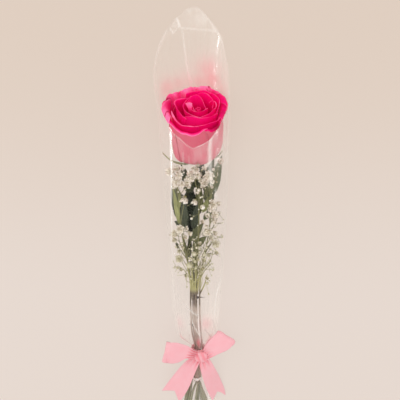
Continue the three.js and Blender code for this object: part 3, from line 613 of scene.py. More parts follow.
GREEN_CUP = (0.24, 0.23, 0.08)
GREEN_SEPAL = (0.36, 0.35, 0.15)
GREEN_BRUISE = (0.30, 0.20, 0.10)
calyx_finish = Finish("calyx")
calyx_grain = calyx_finish.grain((260, 120, 260), 3.0)
calyx_tone = calyx_finish.coats(
    GREEN_CUP, (calyx_finish.told("height").between(0.1, 1.0), GREEN_SEPAL),
    (calyx_grain.between(0.5, 0.8) * 0.4, GREEN_BRUISE))
calyx_material = calyx_finish.done(
    Base_Color=calyx_tone, Roughness=calyx_grain * 0.2 + 0.45,
    Normal=calyx_finish.bump(calyx_grain, 0.0002))
cup = sheet(cup_face(0), cup_face(CUP_WALL), wrapped=True, height=0.0)
show("calyx_cup", [cup, *(sepal(*plan) for plan in SEPALS)], calyx_material, "calyx", "calyx")

# The rose's own stem: a woody rod, green under the bloom and turning purple brown towards the cut, with
# leaf joints and hooked thorns. Rods, thorns and twigs all grow along paths by one tree of geometry nodes.
STEM_RADIUS = 2.8
STEM_LINE = [(3.4, 74.85, 17), (3.8, 68.2, 14.7), (3, 54, 12.4), (0.8, 20, 11.8), (-0.8, -20, 12.3),
             (-1.6, -60, 12.8), (-1.8, -95, 12.8), (-1, -128, 11.2), (2.3, -153, 9.8), (1.6, -175, 9.6),
             (0, -197, 9.2)]
STEM_JOINTS = [56, 22, -14, -34, -72, -112, -140]
JOINT_SIZE = 0.45
JOINT_LENGTH = 2.2

# A thorn is (along, degrees round, length, width).
THORNS = [(-85, -8, 9, 4.5), (-123, 208, 5.5, 6), (-42, 205, 6, 4), (-64, -40, 6, 4), (24, 240, 6, 4),
          (52, -30, 5, 3.6)]
THORN_HOOK = 1.2


def growing_tree(name, inputs, nodes, links):
    """Geometry nodes with named inputs: nodes by label as (type, settings, sockets), and links as (label,
    output, label, input). What reaches "real" is realised, takes the given material and is the result."""
    tree = bpy.data.node_groups.new(name, "GeometryNodeTree")
    for socket, kind in {**inputs, "Material": "Material"}.items():
        tree.interface.new_socket(socket, in_out="INPUT", socket_type="NodeSocket" + kind)
    tree.interface.new_socket("Result", in_out="OUTPUT", socket_type="NodeSocketGeometry")
    ends = {"given": ("NodeGroupInput", {}, {}), "real": ("GeometryNodeRealizeInstances", {}, {}),
            "coat": ("GeometryNodeSetMaterial", {}, {}), "result": ("NodeGroupOutput", {}, {})}
    made = {}
    for label, (kind, settings, sockets) in {**nodes, **ends}.items():
        made[label] = tree.nodes.new(kind)
        for key, value in settings.items():
            setattr(made[label], key, value)
        for key, value in sockets.items():
            made[label].inputs[key].default_value = value
    last = [("real", 0, "coat", "Geometry"), ("given", "Material", "coat", "Material"),
            ("coat", 0, "result", 0)]
    for source, output, target, socket in links + last:
        tree.links.new(made[source].outputs[output], made[target].inputs[socket])
    return tree


RODS = growing_tree(
    "rods", {"Paths": "Geometry", "Sides": "Int"}, {
        "curves": ("GeometryNodeMeshToCurve", {}, {}),
        "ring": ("GeometryNodeCurvePrimitiveCircle", {}, {"Radius": 1}),
        "thick": ("GeometryNodeInputNamedAttribute", {"data_type": "FLOAT"}, {"Name": "thick"}),
        "skin": ("GeometryNodeCurveToMesh", {}, {"Fill Caps": True}),
    }, [
        ("given", "Paths", "curves", "Mesh"), ("given", "Sides", "ring", "Resolution"),
        ("curves", 0, "skin", "Curve"), ("ring", 0, "skin", "Profile Curve"),
        ("thick", "Attribute", "skin", "Scale"), ("skin", 0, "real", 0),
    ])


def grown(name, base, tree, flat=False, **inputs):
    """The plain mesh that a tree of geometry nodes makes from a base mesh."""
    holder = bpy.data.objects.new(name, base)
    bpy.context.scene.collection.objects.link(holder)
    modifier = holder.modifiers.new(name, "NODES")
    modifier.node_group = tree
    for item in tree.interface.items_tree:
        if item.in_out == "INPUT" and item.name in inputs:
            modifier[item.identifier] = inputs[item.name]
    depsgraph = bpy.context.evaluated_depsgraph_get()
    mesh = bpy.data.meshes.new_from_object(holder.evaluated_get(depsgraph), depsgraph=depsgraph)
    holder.modifiers.clear()
    bpy.data.objects.remove(holder)
    if not flat:
        mesh.shade_smooth()
    mesh.name = name
    return mesh


def show_rods(name, paths, sides, material, slot, node):
    """Shows paths through (x, y, z, radius), in millimetres, as round closed rods."""
    starts = np.cumsum([0] + [len(path) for path in paths])
    edges = [(i, i + 1) for start, end in zip(starts, starts[1:]) for i in range(start, end - 1)]
    points = np.concatenate(paths) * MM
    base = bpy.data.meshes.new(name)
    base.from_pydata(points[:, :3].tolist(), edges, [])
    tell(base, "thick", points[:, 3])
    show(name, grown(name, base, RODS, Sides=sides, Material=material), material, slot, node)


def at_height(path, height):
    """The point of a path that is nearest to a place along the rose."""
    return path[np.argmin(np.abs(path[:, 1] - height)), :3]


stem_path = through([(*point, STEM_RADIUS) for point in STEM_LINE], 150)
for joint in STEM_JOINTS:
    stem_path[:, 3] += JOINT_SIZE * np.exp(-((stem_path[:, 1] - joint) / JOINT_LENGTH) ** 2)
stem_path[:, 3] *= 1 + 0.02 * np.sin(stem_path[:, 1] * 0.9)
thorn_paths = []
for height, degrees, length, width in THORNS:
    out = np.array([math.cos(math.radians(degrees)), 0.05, math.sin(math.radians(degrees))])
    run = np.linspace(0, 1, 9)[:, None]
    hook = np.array([0, -1, 0]) * THORN_HOOK * run ** 2
    line = at_height(stem_path, height) + out * (1.2 + (length + 1.4) * run) + hook
    thorn_paths.append(np.hstack([line, 0.12 + width * 0.42 * (1 - run) ** 1.8]))

STEM_GREEN = (0.10, 0.13, 0.045)
STEM_BROWN = (0.105, 0.058, 0.052)
STEM_PALE = (0.32, 0.21, 0.16)
STEM_GREY = (0.54, 0.44, 0.37)
STEM_SPECK = (0.40, 0.32, 0.24)


def hazed_low_down(along):
    """Coats for all that stands low in the sleeve: painted greyer, and further down paler, towards the cut
    ends, as a painted haze of the film over them.
    """
    return (((1 - along.between(-0.098, -0.091)) * 0.85, STEM_GREY),
            ((1 - along.between(-0.118, -0.113)) * 0.75, STEM_PALE))


stem_finish = Finish("stem")
stem_along = stem_finish.axis(stem_finish.place(), 1)
stem_grain = stem_finish.grain((420, 40, 420), 4.0, 0.6)
stem_specks = stem_finish.grain((520, 260, 520), 1.0)
# Low in the sleeve the stem is painted greyer and paler, as a painted haze of the film over it.
stem_tone = stem_finish.coats(
    STEM_BROWN, ((stem_along * 12 + 0.9 + stem_grain * 0.5).between(0.0, 1.0), STEM_GREEN),
    *hazed_low_down(stem_along),
    (stem_grain.between(0.45, 0.75) * 0.5, STEM_PALE), (stem_specks.between(0.68, 0.74) * 0.7, STEM_SPECK))
stem_material = stem_finish.done(
    Base_Color=stem_tone, Roughness=stem_grain * 0.3 + 0.35, Normal=stem_finish.bump(stem_grain, 0.0003))
show_rods("stem_rod", [stem_path], 20, stem_material, "stem", "stem")


def grained(name, stretch, dark, light, rough, dent=None):
    """A material of two tones in a fine grain, which dents it where dent says how deep."""
    finish = Finish(name)
    grain = finish.grain(stretch)
    more = {"Normal": finish.bump(grain, dent)} if dent else {}
    return finish.done(Base_Color=finish.mix(grain, dark, light), Roughness=grain * 0.2 + rough, **more)


THORN_FOOT = (0.03, 0.026, 0.022)
THORN_TIP = (0.09, 0.05, 0.045)
thorn_material = grained("thorn", (300, 300, 300), THORN_FOOT, THORN_TIP, 0.3)
show_rods("thorns", thorn_paths, 10, thorn_material, "stem", "stem")

# The ring round the stem's lower end: a narrow band of white tape with a fine grain. It was turned round
# the bark once the stem was cut, before the film went on.
BAND_MIDDLE = at_height(stem_path, -193)
BAND_RADIUS = 3.5
BAND_PROFILE = [(0, -1.3), (0.9, -1.3), (1.1, -1), (1.1, 1), (0.9, 1.3), (0, 1.3)]
BAND_WHITE = (0.98, 0.97, 0.96)
BAND_SHADE = (0.90, 0.87, 0.84)


def round_rose(middle, angle, wide, high, along):
    """Points round a middle in a plane across the rose, by angles from the front."""
    x, y, z = middle
    places = np.broadcast_arrays(x + wide * np.sin(angle), y + along, z + high * np.cos(angle))
    return np.stack(places, axis=-1)


band_around = np.linspace(0, 2 * np.pi, 40, endpoint=False)
band_deep, band_along = np.array(BAND_PROFILE).T[..., None]
band_outer, band_inner = (
    round_rose(BAND_MIDDLE, band_around, BAND_RADIUS + deep, BAND_RADIUS + deep, band_along)
    for deep in (band_deep, 0))
band_material = grained("tape", (200, 900, 200), BAND_WHITE, BAND_SHADE, 0.4, 0.0001)
show("stem_tape", [sheet(band_outer, band_inner, wrapped=True)], band_material, "band", "stem_band")

# The leaves: three compound leaves folded up beside the stem. Each leaflet has a sawn edge, a sunk midrib
# and side veins with the blade puffed up between them, and hangs on a thin stalk.
LEAF_WALL = 0.35
LEAF_TEETH = 15
LEAF_VEINS = 9
TOOTH_DEPTH = 0.13
PUFF = 0.16
RIB_DEPTH = 0.25
LEAF_ARCH = 0.06
LEAF_CUP = 0.16
LEAVES = {
    "leaf_left": {
        "stalk": [(-4.6, -14, 13), (-9, -2, 13), (-15, 12, 14), (-19, 26, 16)],
        "leaflets": [
            ((-18.6, 24, 16), (-25, 56, 22), 15, 0.5, 0.3, 0.7),
            ((-15, 12, 14), (-26, 34, 21), 11, 0.7, 0.12, 0.3),
            ((-14, 12, 14), (-9, 44, 12), 14, 0.2, 0.1, 0.1),
            ((-10, 0, 13), (-23, 10, 16.5), 9, 0.5, 0.2, 0.4),
            ((-11.5, 2.5, 20), (-14, 46, 27), 8, 0.1, 0.14, 0.85),
            ((-18.2, 12.5, 28), (-24.2, 57, 32), 5.0, 0.25, 0.95, 0.0),
            ((-18.6, 30, 31), (-16.7, 54, 34.5), 3, 0.3, 0.85, 0.0),
            ((-10, -32.6, 20), (-15.1, -2.8, 25), 4.5, 0.5, 0.5, 0.3),
            ((-19.3, -20, 21), (-21.8, -12, 21.5), 2.8, 0.5, 0.05, 0.4),
        ],
    },
    "leaf_right": {
        "stalk": [(3.95, -4, 12), (9, 10, 12), (14, 28, 13.5), (18, 44, 15)],
        "leaflets": [
            ((16.5, 40, 16), (26.6, 87, 20), 11.5, -0.3, 0.5, 0.7),
            ((9.3, 42, 13), (18.6, 80, 11), 12, -0.35, 0.5, 0.6),
            ((14, 32, 13.5), (21, 56, 16), 6, -0.6, 0.45, 0.6),
            ((14, 28, 13.5), (12, 52, 9), 12, 0, 0.3, 0.5),
            ((8, 10, 12), (17, 22, 13.5), 6, -0.4, 0.75, 0.8),
            ((6.6, 27, 30), (16.5, 51, 36), 7, -0.25, 0.85, 0.0),
        ],
    },
    "leaf_front": {
        "stalk": [(-1, -34, 16.7), (-1.6, -14, 19.5), (-3, 4, 21.5), (-4, 16, 22.5)],
        "leaflets": [
            ((-4, 14, 22), (-5.5, 57, 25), 11, 0.2, 0.0, 0.0),
            ((-6.2, -5, 18), (-6.6, 52, 22), 9, 0.3, 0.0, 0.0),
            ((-2.8, 2.5, 22), (1.6, 38, 27), 7.5, -0.2, 0.07, 0.75),
            ((2.5, 20, 21), (4.5, 56, 25), 9.5, -0.1, 0.3, 0.0),
            ((-5, 46, 25), (-15, 82, 33), 13, 0.3, 0.14, 0.25),
            ((2, 50, 26), (6, 87, 29), 15, -0.1, 0.1, 0.15),
            ((-6.6, -10, 23), (7.7, 14.5, 28.5), 9, -0.2, 0.35, 0.25),
            ((-3.5, -17, 22), (11, -2.5, 27), 9, -0.1, 0.42, 0.1),
            ((-7.9, -34, 15), (-7.2, -4.5, 18), 5.5, 0.2, 0.12, 0.0),
        ],
    },
}


def leaflet(foot, tip, width, lean, light, slate, rows=72, columns=15):
    """A leaflet from foot to tip, its edge sawn in forward teeth and its blade puffed between the veins. It
    leans to one side; slate is its share of the greyed green, and the share before it, of the yellow green,
    is partly its own colour and partly painted shade, for leaflets in shade keep little of it and stay near
    black."""
    foot, tip, lean = (np.array(v, float) for v in (foot, tip, (lean, 0, 1)))
    along = tip - foot
    length = np.linalg.norm(along)
    up = unit(lean - along * (lean @ along) / length ** 2)
    across = unit(np.cross(along, up))
    t, side = np.linspace(0, 1, rows)[:, None], np.linspace(-1, 1, columns)[None]
    saw = (t * LEAF_TEETH) % 1
    tooth = 1 - TOOTH_DEPTH * (1 - saw) * (np.abs(side) > 0.99) * (t > 0.06) * (t < 0.97)
    half = (width / 2 * np.sin(np.pi * t ** 0.8) ** 0.85 * (1.0 - 0.25 * t ** 3) + 0.25) * tooth
    vein = np.cos(2 * np.pi * (t * LEAF_VEINS - 0.9 * np.abs(side)))
    puff = PUFF * (1 - vein) * np.clip(half / 4, 0, 1) * np.minimum(np.abs(side) * 6, 1)
    wave = 0.5 * np.sin(7 * t + 3 * side + width) * side ** 2
    rib = RIB_DEPTH * (np.abs(side) < 0.05)
    arch = LEAF_ARCH * length * np.sin(np.pi * t) + LEAF_CUP * half * np.abs(side) + puff + wave - rib
    face = foot + t[..., None] * along + (side * half)[..., None] * across + arch[..., None] * up
    return sheet(face, face - up * LEAF_WALL, light=light, slate=slate)


LEAF_DARK = (0.007, 0.012, 0.004)
LEAF_LIGHT = (0.36, 0.37, 0.16)
LEAF_SLATE = (0.044, 0.056, 0.037)
LEAF_GREY = (0.23, 0.26, 0.175)
leaf_finish = Finish("leaf")
leaf_across, leaf_up = (leaf_finish.axis(leaf_finish.lay(), number) for number in (0, 1))
leaf_off = (leaf_across - 0.5).math("ABSOLUTE") * 2
leaf_rib = 1 - leaf_off.between(0.02, 0.10)
leaf_side = (leaf_up * LEAF_VEINS - leaf_off * 0.9).math("FRACT")
leaf_side = 1 - (leaf_side - 0.5).math("ABSOLUTE").math("MULTIPLY_ADD", -2, 1).between(0.0, 0.22)
leaf_mottle = leaf_finish.grain((160, 160, 160), 3.0)
# Leaflets with little of the yellow green stay near the dark base: painted shade for the deep gaps in the
# foliage.
leaf_green_and_lit = leaf_finish.told("light")
leaf_grey = leaf_finish.mix(leaf_green_and_lit * 1.6, LEAF_SLATE, LEAF_GREY)
leaf_tone = leaf_finish.coats(
    LEAF_DARK, (leaf_green_and_lit * (leaf_mottle * 0.5 + 0.75), LEAF_LIGHT),
    (leaf_finish.told("slate"), leaf_grey))
leaf_lighter = leaf_finish.node("HueSaturation", None, {"Value": 1.7, "Color": leaf_tone})
leaf_tone = leaf_finish.mix(leaf_rib.math("MAXIMUM", leaf_side * 0.5) * 0.6, leaf_tone, leaf_lighter)
leaf_material = leaf_finish.done(
    Base_Color=leaf_tone, Roughness=leaf_mottle * 0.2 + 0.5, Specular_IOR_Level=0.12,
    Normal=leaf_finish.bump(leaf_mottle - leaf_side * 0.5, 0.00025))

STALK_DARK = (0.12, 0.16, 0.05)
STALK_LIGHT = (0.24, 0.24, 0.10)
STALK_RADII = {"main": 0.75, "foot": 0.6, "end": 0.35}
STALK_SHARE = 0.15
stalk_material = grained("leaf_stalk", (400, 90, 400), STALK_DARK, STALK_LIGHT, 0.4)
for name, plan in LEAVES.items():
    show(name + "_blades", [leaflet(*facts) for facts in plan["leaflets"]], leaf_material, "leaf", name)
    stalks = [through([(*point, STALK_RADII["main"]) for point in plan["stalk"]], 30)]
    for foot, tip, *_ in plan["leaflets"]:
        end = np.array(foot) * (1 - STALK_SHARE) + np.array(tip) * STALK_SHARE
        stalks.append(through([(*foot, STALK_RADII["foot"]), (*end, STALK_RADII["end"])], 6))
    show_rods(name + "_stalk", stalks, 8, stalk_material, "leaf", name)

# The sleeve: one sheet of clear film wrapped round the rose with its edges overlapping at the back. It is
# gathered in sharp pleats at the tie and flares below it. Its upper edge drops to a V in front of the
# bloom.
FILM_WALL = 0.2
FILM_COLUMNS = 240
FILM_ROWS = [(0, -238.5), (30, -152), (90, -76), (128, 98)]
FILM_TOP_ROWS = 68
SKIRT_TOP = -200
SKIRT_WAVE = 1.5
PLEATS = [(8, 1, 0), (21, 0.7, 1), (34, 0.5, 2.4)]
PLEAT_SHARE = 0.75

# A section is (along, middle across, middle up, half width, half height). Lines on the film, the bright
# ones painted highlights and the dark ones painted shade, and its painted pink reflections are placed by
# degrees round from the front and by millimetres along the rose.
SLEEVE_SECTIONS = [
    (-238.5, 0.4, 8.4, 21.5, 9.2), (-215, 1.0, 8.6, 17.5, 8.9), (-190, 1.8, 9.0, 12.5, 8.2),
    (-170, 2.4, 9.8, 9.0, 7.6), (-159, 2.5, 10, 7.4, 7.2), (-150, 2.5, 10, 7.4, 7.2),
    (-145, 2, 10, 10.2, 7.7), (-140, 0.8, 10.2, 15, 8.5), (-134, 0, 10.7, 20.8, 9.6),
    (-122, 0, 12.4, 22.9, 12), (-95, -0.2, 14.4, 25.5, 14.2), (-50, 0.1, 18.2, 28.6, 18.6),
    (0, 0, 23, 31.3, 23.6), (50, -0.3, 27.2, 33.1, 27.9), (98, -1.2, 31, 34.8, 31.8),
    (120, -1.8, 34, 35.6, 35), (145, -2.4, 37, 36.4, 38), (175, -4.6, 37, 37.4, 38),
    (238.5, -1.5, 37, 36.6, 38),
]
PLEAT_DEPTHS = [(-238.5, 1.5), (-200, 1.1), (-160, 0.5), (-147, 0.5), (-134, 0.9), (-95, 0.45), (-50, 0.12),
                (238.5, 0)]
MOUTH_EDGE = [(-180, 238.5), (-155, 230), (-125, 214), (-103, 195), (-90, 180), (-70, 160), (-39, 135.5),
              (-33, 130), (-22, 125), (-10, 118), (-4, 115.4), (-2, 114.8), (0, 115.2), (6, 117),
              (16, 119.6), (26, 123.5), (31, 127), (38, 132), (70, 155), (90, 173), (117, 195), (130, 211),
              (155, 226), (180, 238.5)]
FILM_TURN = 0.62
# Gleams are painted highlights: white lines along the film's folds and edges.
GLEAMS = [
    ([(-39, 134), (-41.5, 112), (-44, 92)], 1.25, 0.6), ([(-44, 92), (-48, 60)], 1.2, 0.56), ([(-48, 60),
      (-51, 42), (-53, 18)], 1.15, 0.58), ([(-53, 18), (-57, -3), (-57, -29)], 1.1, 0.33), ([(28, 126),
      (25.5, 112), (26.5, 87), (28.5, 70)], 2.2, 0.38), ([(27, 88), (28.5, 70)], 1.2, 0.4), ([(37, 62),
      (40, 50)], 1.3, 0.3), ([(-19, 108), (-20, 84)], 0.8, 0.16), ([(-9, 104), (-10, 84)], 0.7, 0.12),
    ([(38, 110), (40, 86)], 0.8, 0.12), ([(71, -55), (61, -65), (54, -77), (52, -92), (54, -104)], 1.3,
     0.55), ([(-24, -87), (-8, -96), (3, -99)], 0.8, 0.4), ([(-11, -109), (-2, -118), (8, -129)], 0.8,
     0.45), ([(4, -104), (8, -120), (14, -134)], 0.9, 0.3), ([(-33, 129), (-22, 124), (-10, 117),
      (-2, 114)], 0.9, 0.14), ([(-2, 115), (6, 117), (16, 119.6), (26, 123.5), (38, 132)], 0.8, 0.3),
    ([(-159, 218), (-164, 211), (-168, 196), (-172, 181), (-175, 168), (-178, 159)], 0.6, 0.35),
    ([(-159, 217), (-172, 216), (-184, 215), (-197, 215), (-208, 215), (-218, 215)], 0.9, 0.28),
    ([(-188, 225), (-197, 228)], 7, 0.16), ([(-149, 220), (-154, 221)], 3, 0.22), ([(-152, 227),
      (-158, 219)], 0.8, 0.7), ([(-141, 218), (-146, 213), (-158, 219)], 0.7, 0.5), ([(-141, 218),
      (-152, 227)], 0.9, 0.25), ([(-131, 215), (-111, 197), (-105, 192), (-98, 178), (-103, 161)], 2.4,
     0.24), ([(135, 210), (138, 200)], 0.9, 0.7), ([(138, 200), (139, 192)], 0.8, 0.35), ([(135, 210),
      (129, 206)], 0.8, 0.4), ([(129, 206), (128, 180)], 0.8, 0.15), ([(9, -132), (9, -150)], 0.8, 0.4),
    ([(-57, -31), (-66, -63), (-69, -98), (-71, -134)], 1.2, 0.16), ([(34, -28), (33, -45), (29, -62)], 1.0,
     0.16), ([(-169, 233), (-176, 235), (-186, 236), (-194, 236), (-202, 227), (-210, 219), (-222, 214),
      (-231, 207), (-244, 196), (-262, 178)], 1.0, 0.2),
]
# Creases are painted shade: dark lines along the film's folds.
CREASES = [
    ([(-48, -76), (-30, -85), (-15, -92), (2, -98)], 0.8, 0.42), ([(-67, -107), (-54, -101), (-38, -97),
      (-26, -99), (-22, -105)], 0.9, 0.22), ([(-72, -134), (-68, -137), (-64, -142)], 1.0, 0.6),
    ([(-41, -116), (-54, -130)], 0.9, 0.2), ([(25, -121), (45, -132), (70, -143)], 0.9, 0.4), ([(46, -109),
      (70, -124), (99, -139)], 0.7, 0.35), ([(31, -76), (30, -115)], 0.8, 0.16), ([(14, -130), (20, -144)],
     0.9, 0.5), ([(-20, -128), (-30, -144)], 0.7, 0.4), ([(-75, 118), (-80, 150)], 0.8, 0.2), ([(84, 40),
      (86, 90)], 0.8, 0.16),
]
FILM_HAZE = [(-238.5, 0.05), (-150, 0.07), (-110, 0.07), (-85, 0.03), (-60, 0.001), (60, 0.001), (84, 0.01),
             (94, 0.06), (120, 0.075), (150, 0.05), (200, 0.05), (238.5, 0.09)]
# These pink patches are painted reflections on the film.
PINK_REFLECTIONS = [(155, 173, 17, 0.6), (149, 163, 15, 0.72), (167, 161, 14, 0.62), (160, 184, 12, 0.3),
           (-172, 161, 14, 0.45), (-137, 156, 14, 0.7), (-155, 158, 13, 0.55), (134, 156, 13, 0.45),
           (-50, -112, 10, 0.4), (27, -112, 11, 0.45), (6, -141, 6, 0.9), (-56, -137, 7, 0.5),
           (50, -137, 8, 0.5)]


def smooth(rows, at):
    """Values at places between rows of (place, value, ...), on lines that never swing past a row."""
    rows = np.array(rows, float)
    places, values = rows[:, 0], rows[:, 1:]
    rise = np.diff(values, axis=0) / np.diff(places)[:, None]
    both = rise[:-1] * rise[1:]
    slope = np.zeros_like(values)
    slope[1:-1] = np.where(both > 0, 2 * both / np.where(both > 0, rise[:-1] + rise[1:], 1), 0)
    i = np.clip(np.searchsorted(places, at, side="right") - 1, 0, len(places) - 2)
    span = (places[i + 1] - places[i])[..., None]
    t = np.clip((at[..., None] - places[i][..., None]) / span, 0, 1)
    bend = slope[i] * t * (1 - t) ** 2 - slope[i + 1] * t ** 2 * (1 - t)
    return values[i] + (values[i + 1] - values[i]) * t ** 2 * (3 - 2 * t) + span * bend


def on_film(degrees, height, inset=0.0):
    """Points of the film, by degrees round from the front and height along the rose."""
    degrees, height = np.broadcast_arrays(np.asarray(degrees, float), np.asarray(height, float))
    middle_x, middle_z, wide, high = np.moveaxis(smooth(SLEEVE_SECTIONS, height), -1, 0)
    angle = np.radians(degrees)
    pleat = sum(share * np.cos(count * angle + phase) for count, share, phase in PLEATS)
    push = smooth(PLEAT_DEPTHS, height)[..., 0] * pleat * PLEAT_SHARE - inset
    face = round_rose((middle_x, 0, middle_z), angle, wide + push, high + push, height)
    face[..., 2] = np.maximum(face[..., 2], inset)
    return face


def near_line(degrees, height, line, width):
    """1 on a line of (degrees, height) over the film and less beside it."""
    best = np.full(np.broadcast(degrees, height).shape, np.inf)
    for turn in (-360, 0, 360):
        across, along = (degrees + turn) * FILM_TURN, height + 0 * degrees
        for (a, low), (b, high) in zip(line, line[1:]):
            a, wide, tall = a * FILM_TURN, (b - a) * FILM_TURN, high - low
            share = ((across - a) * wide + (along - low) * tall) / (wide ** 2 + tall ** 2)
            share = np.clip(share, 0, 1)
            best = np.minimum(best, np.hypot(across - a - share * wide, along - low - share * tall))
    return np.exp(-(best / width) ** 2)


def drawn(lines):
    """The strongest of several lines, (line, width, share), at each point of the film."""
    return np.max([share * near_line(film_degrees, film_height, line, width)
                   for line, width, share in lines], axis=0)


film_degrees = np.linspace(-180, 180, FILM_COLUMNS, endpoint=False)[None]
film_edge = smooth(MOUTH_EDGE, film_degrees[0])[:, 0]
film_skirt = SKIRT_WAVE * (1 - np.cos(np.radians(2 * film_degrees[0])))
low_rows = np.interp(np.arange(FILM_ROWS[-1][0]), *zip(*FILM_ROWS))[:, None]
low_share = np.clip((SKIRT_TOP - low_rows) / (SKIRT_TOP - FILM_ROWS[0][1]), 0, 1)
high_rows = np.linspace(0, 1, FILM_TOP_ROWS)[:, None]
film_foot = FILM_ROWS[-1][1]
film_height = np.concatenate([
    low_rows + film_skirt * low_share, film_foot + (film_edge - film_foot) * high_rows])
film_pink_reflection = np.max([
    share * np.exp(-((film_height - high) ** 2
                     + (((film_degrees - turn + 180) % 360 - 180) * FILM_TURN) ** 2) / size ** 2)
    for turn, high, size, share in PINK_REFLECTIONS], axis=0)
film_haze = smooth(FILM_HAZE, film_height)[..., 0] * (1.0 + np.sin(np.radians(film_degrees)))
film_sheet = sheet(
    on_film(film_degrees, film_height), on_film(film_degrees, film_height, FILM_WALL), wrapped=True,
    gleam=drawn(GLEAMS), crease=drawn(CREASES), blush=film_pink_reflection, haze=film_haze)

FILM_COLOUR = (0.80, 0.76, 0.71)
FILM_WHITE = (0.92, 0.93, 0.91)
FILM_REFLECTED_PINK = (0.86, 0.29, 0.35)
FILM_SHADE = (0.34, 0.25, 0.23)
film_finish = Finish("film")
film_facing = film_finish.node("LayerWeight", None, {"Blend": 0.25}, take=1)
film_gleam, film_crease, film_reflected_pink, film_mist = (
    film_finish.told(fact) for fact in ("gleam", "crease", "blush", "haze"))
film_wrinkle = film_finish.grain((30, 5, 30), 3.0)
film_streak = film_finish.grain((130, 3, 130)).between(0.35, 0.7)
film_mottle = film_finish.grain((45, 30, 45), 3.0).between(0.3, 0.7)
# Over the haze colour go the painted pink reflections, painted white highlights along the gleams and
# painted shade along the creases.
film_tone = film_finish.coats(
    FILM_COLOUR, ((film_reflected_pink * 1.6).math("MINIMUM", 1), FILM_REFLECTED_PINK), (film_gleam, FILM_WHITE),
    (film_crease * 1.5, FILM_SHADE))
film_alpha = ((film_facing - 0.06).math("MAXIMUM", 0) * 0.17 + film_gleam * 0.7 + film_crease * 0.45
              + film_reflected_pink * (film_mottle * 0.09 + 0.20) + film_mist * (film_streak + 0.5))
# A faint glow of the film's own tones is painted light: its haze, highlights and pink reflections shine a
# little.
film_material = film_finish.done(
    Base_Color=film_tone, Roughness=0.12, Alpha=film_alpha, Coat_Weight=0.3,
    Emission_Color=film_tone, Emission_Strength=0.15, Normal=film_finish.bump(film_wrinkle, 0.004))
film_piece = show("film_sleeve", [film_sheet], film_material, "film", "sleeve")

# So thin and clear a film leaves no shadow of its own on the petals or on the floor.
film_piece.visible_shadow = False

# The baby's breath: three sprays of fine green twigs. Small double flowers and round buds stand at the ends
# of their hair-thin stalks, in loose clumps beside the rose's leaves.
TRUNK_RADIUS = 1.1
TWIG_RADII = (0.5, 0.4, 0.25)
TWIG_DROP = (18, 34)
FLOWER_GROW = 1.12
FLOWER_NOD = 0.28
FLOWER_UP = (0, 0.1, 0.75)
FLOWER_STALK = (0.28, 0.24, 0.22)
BUD_STRAY = (4, 5, 2)
BUD_DROP = (0, 3, 1)
BUD_SIZES = (0.45, 1.0)
BUD_STALK = (0.22, 0.18, 0.16)
SPRIG_PLACES = (-60, 2)
SPRIG_SPREAD = (5, 14)
SPRIG_HEIGHTS = (21, 34)
SPRIG_DROP = (14, 30)
SPRIG_SIZES = (0.6, 1.4)
SPRIG_STALK = (0.34, 0.28, 0.2)

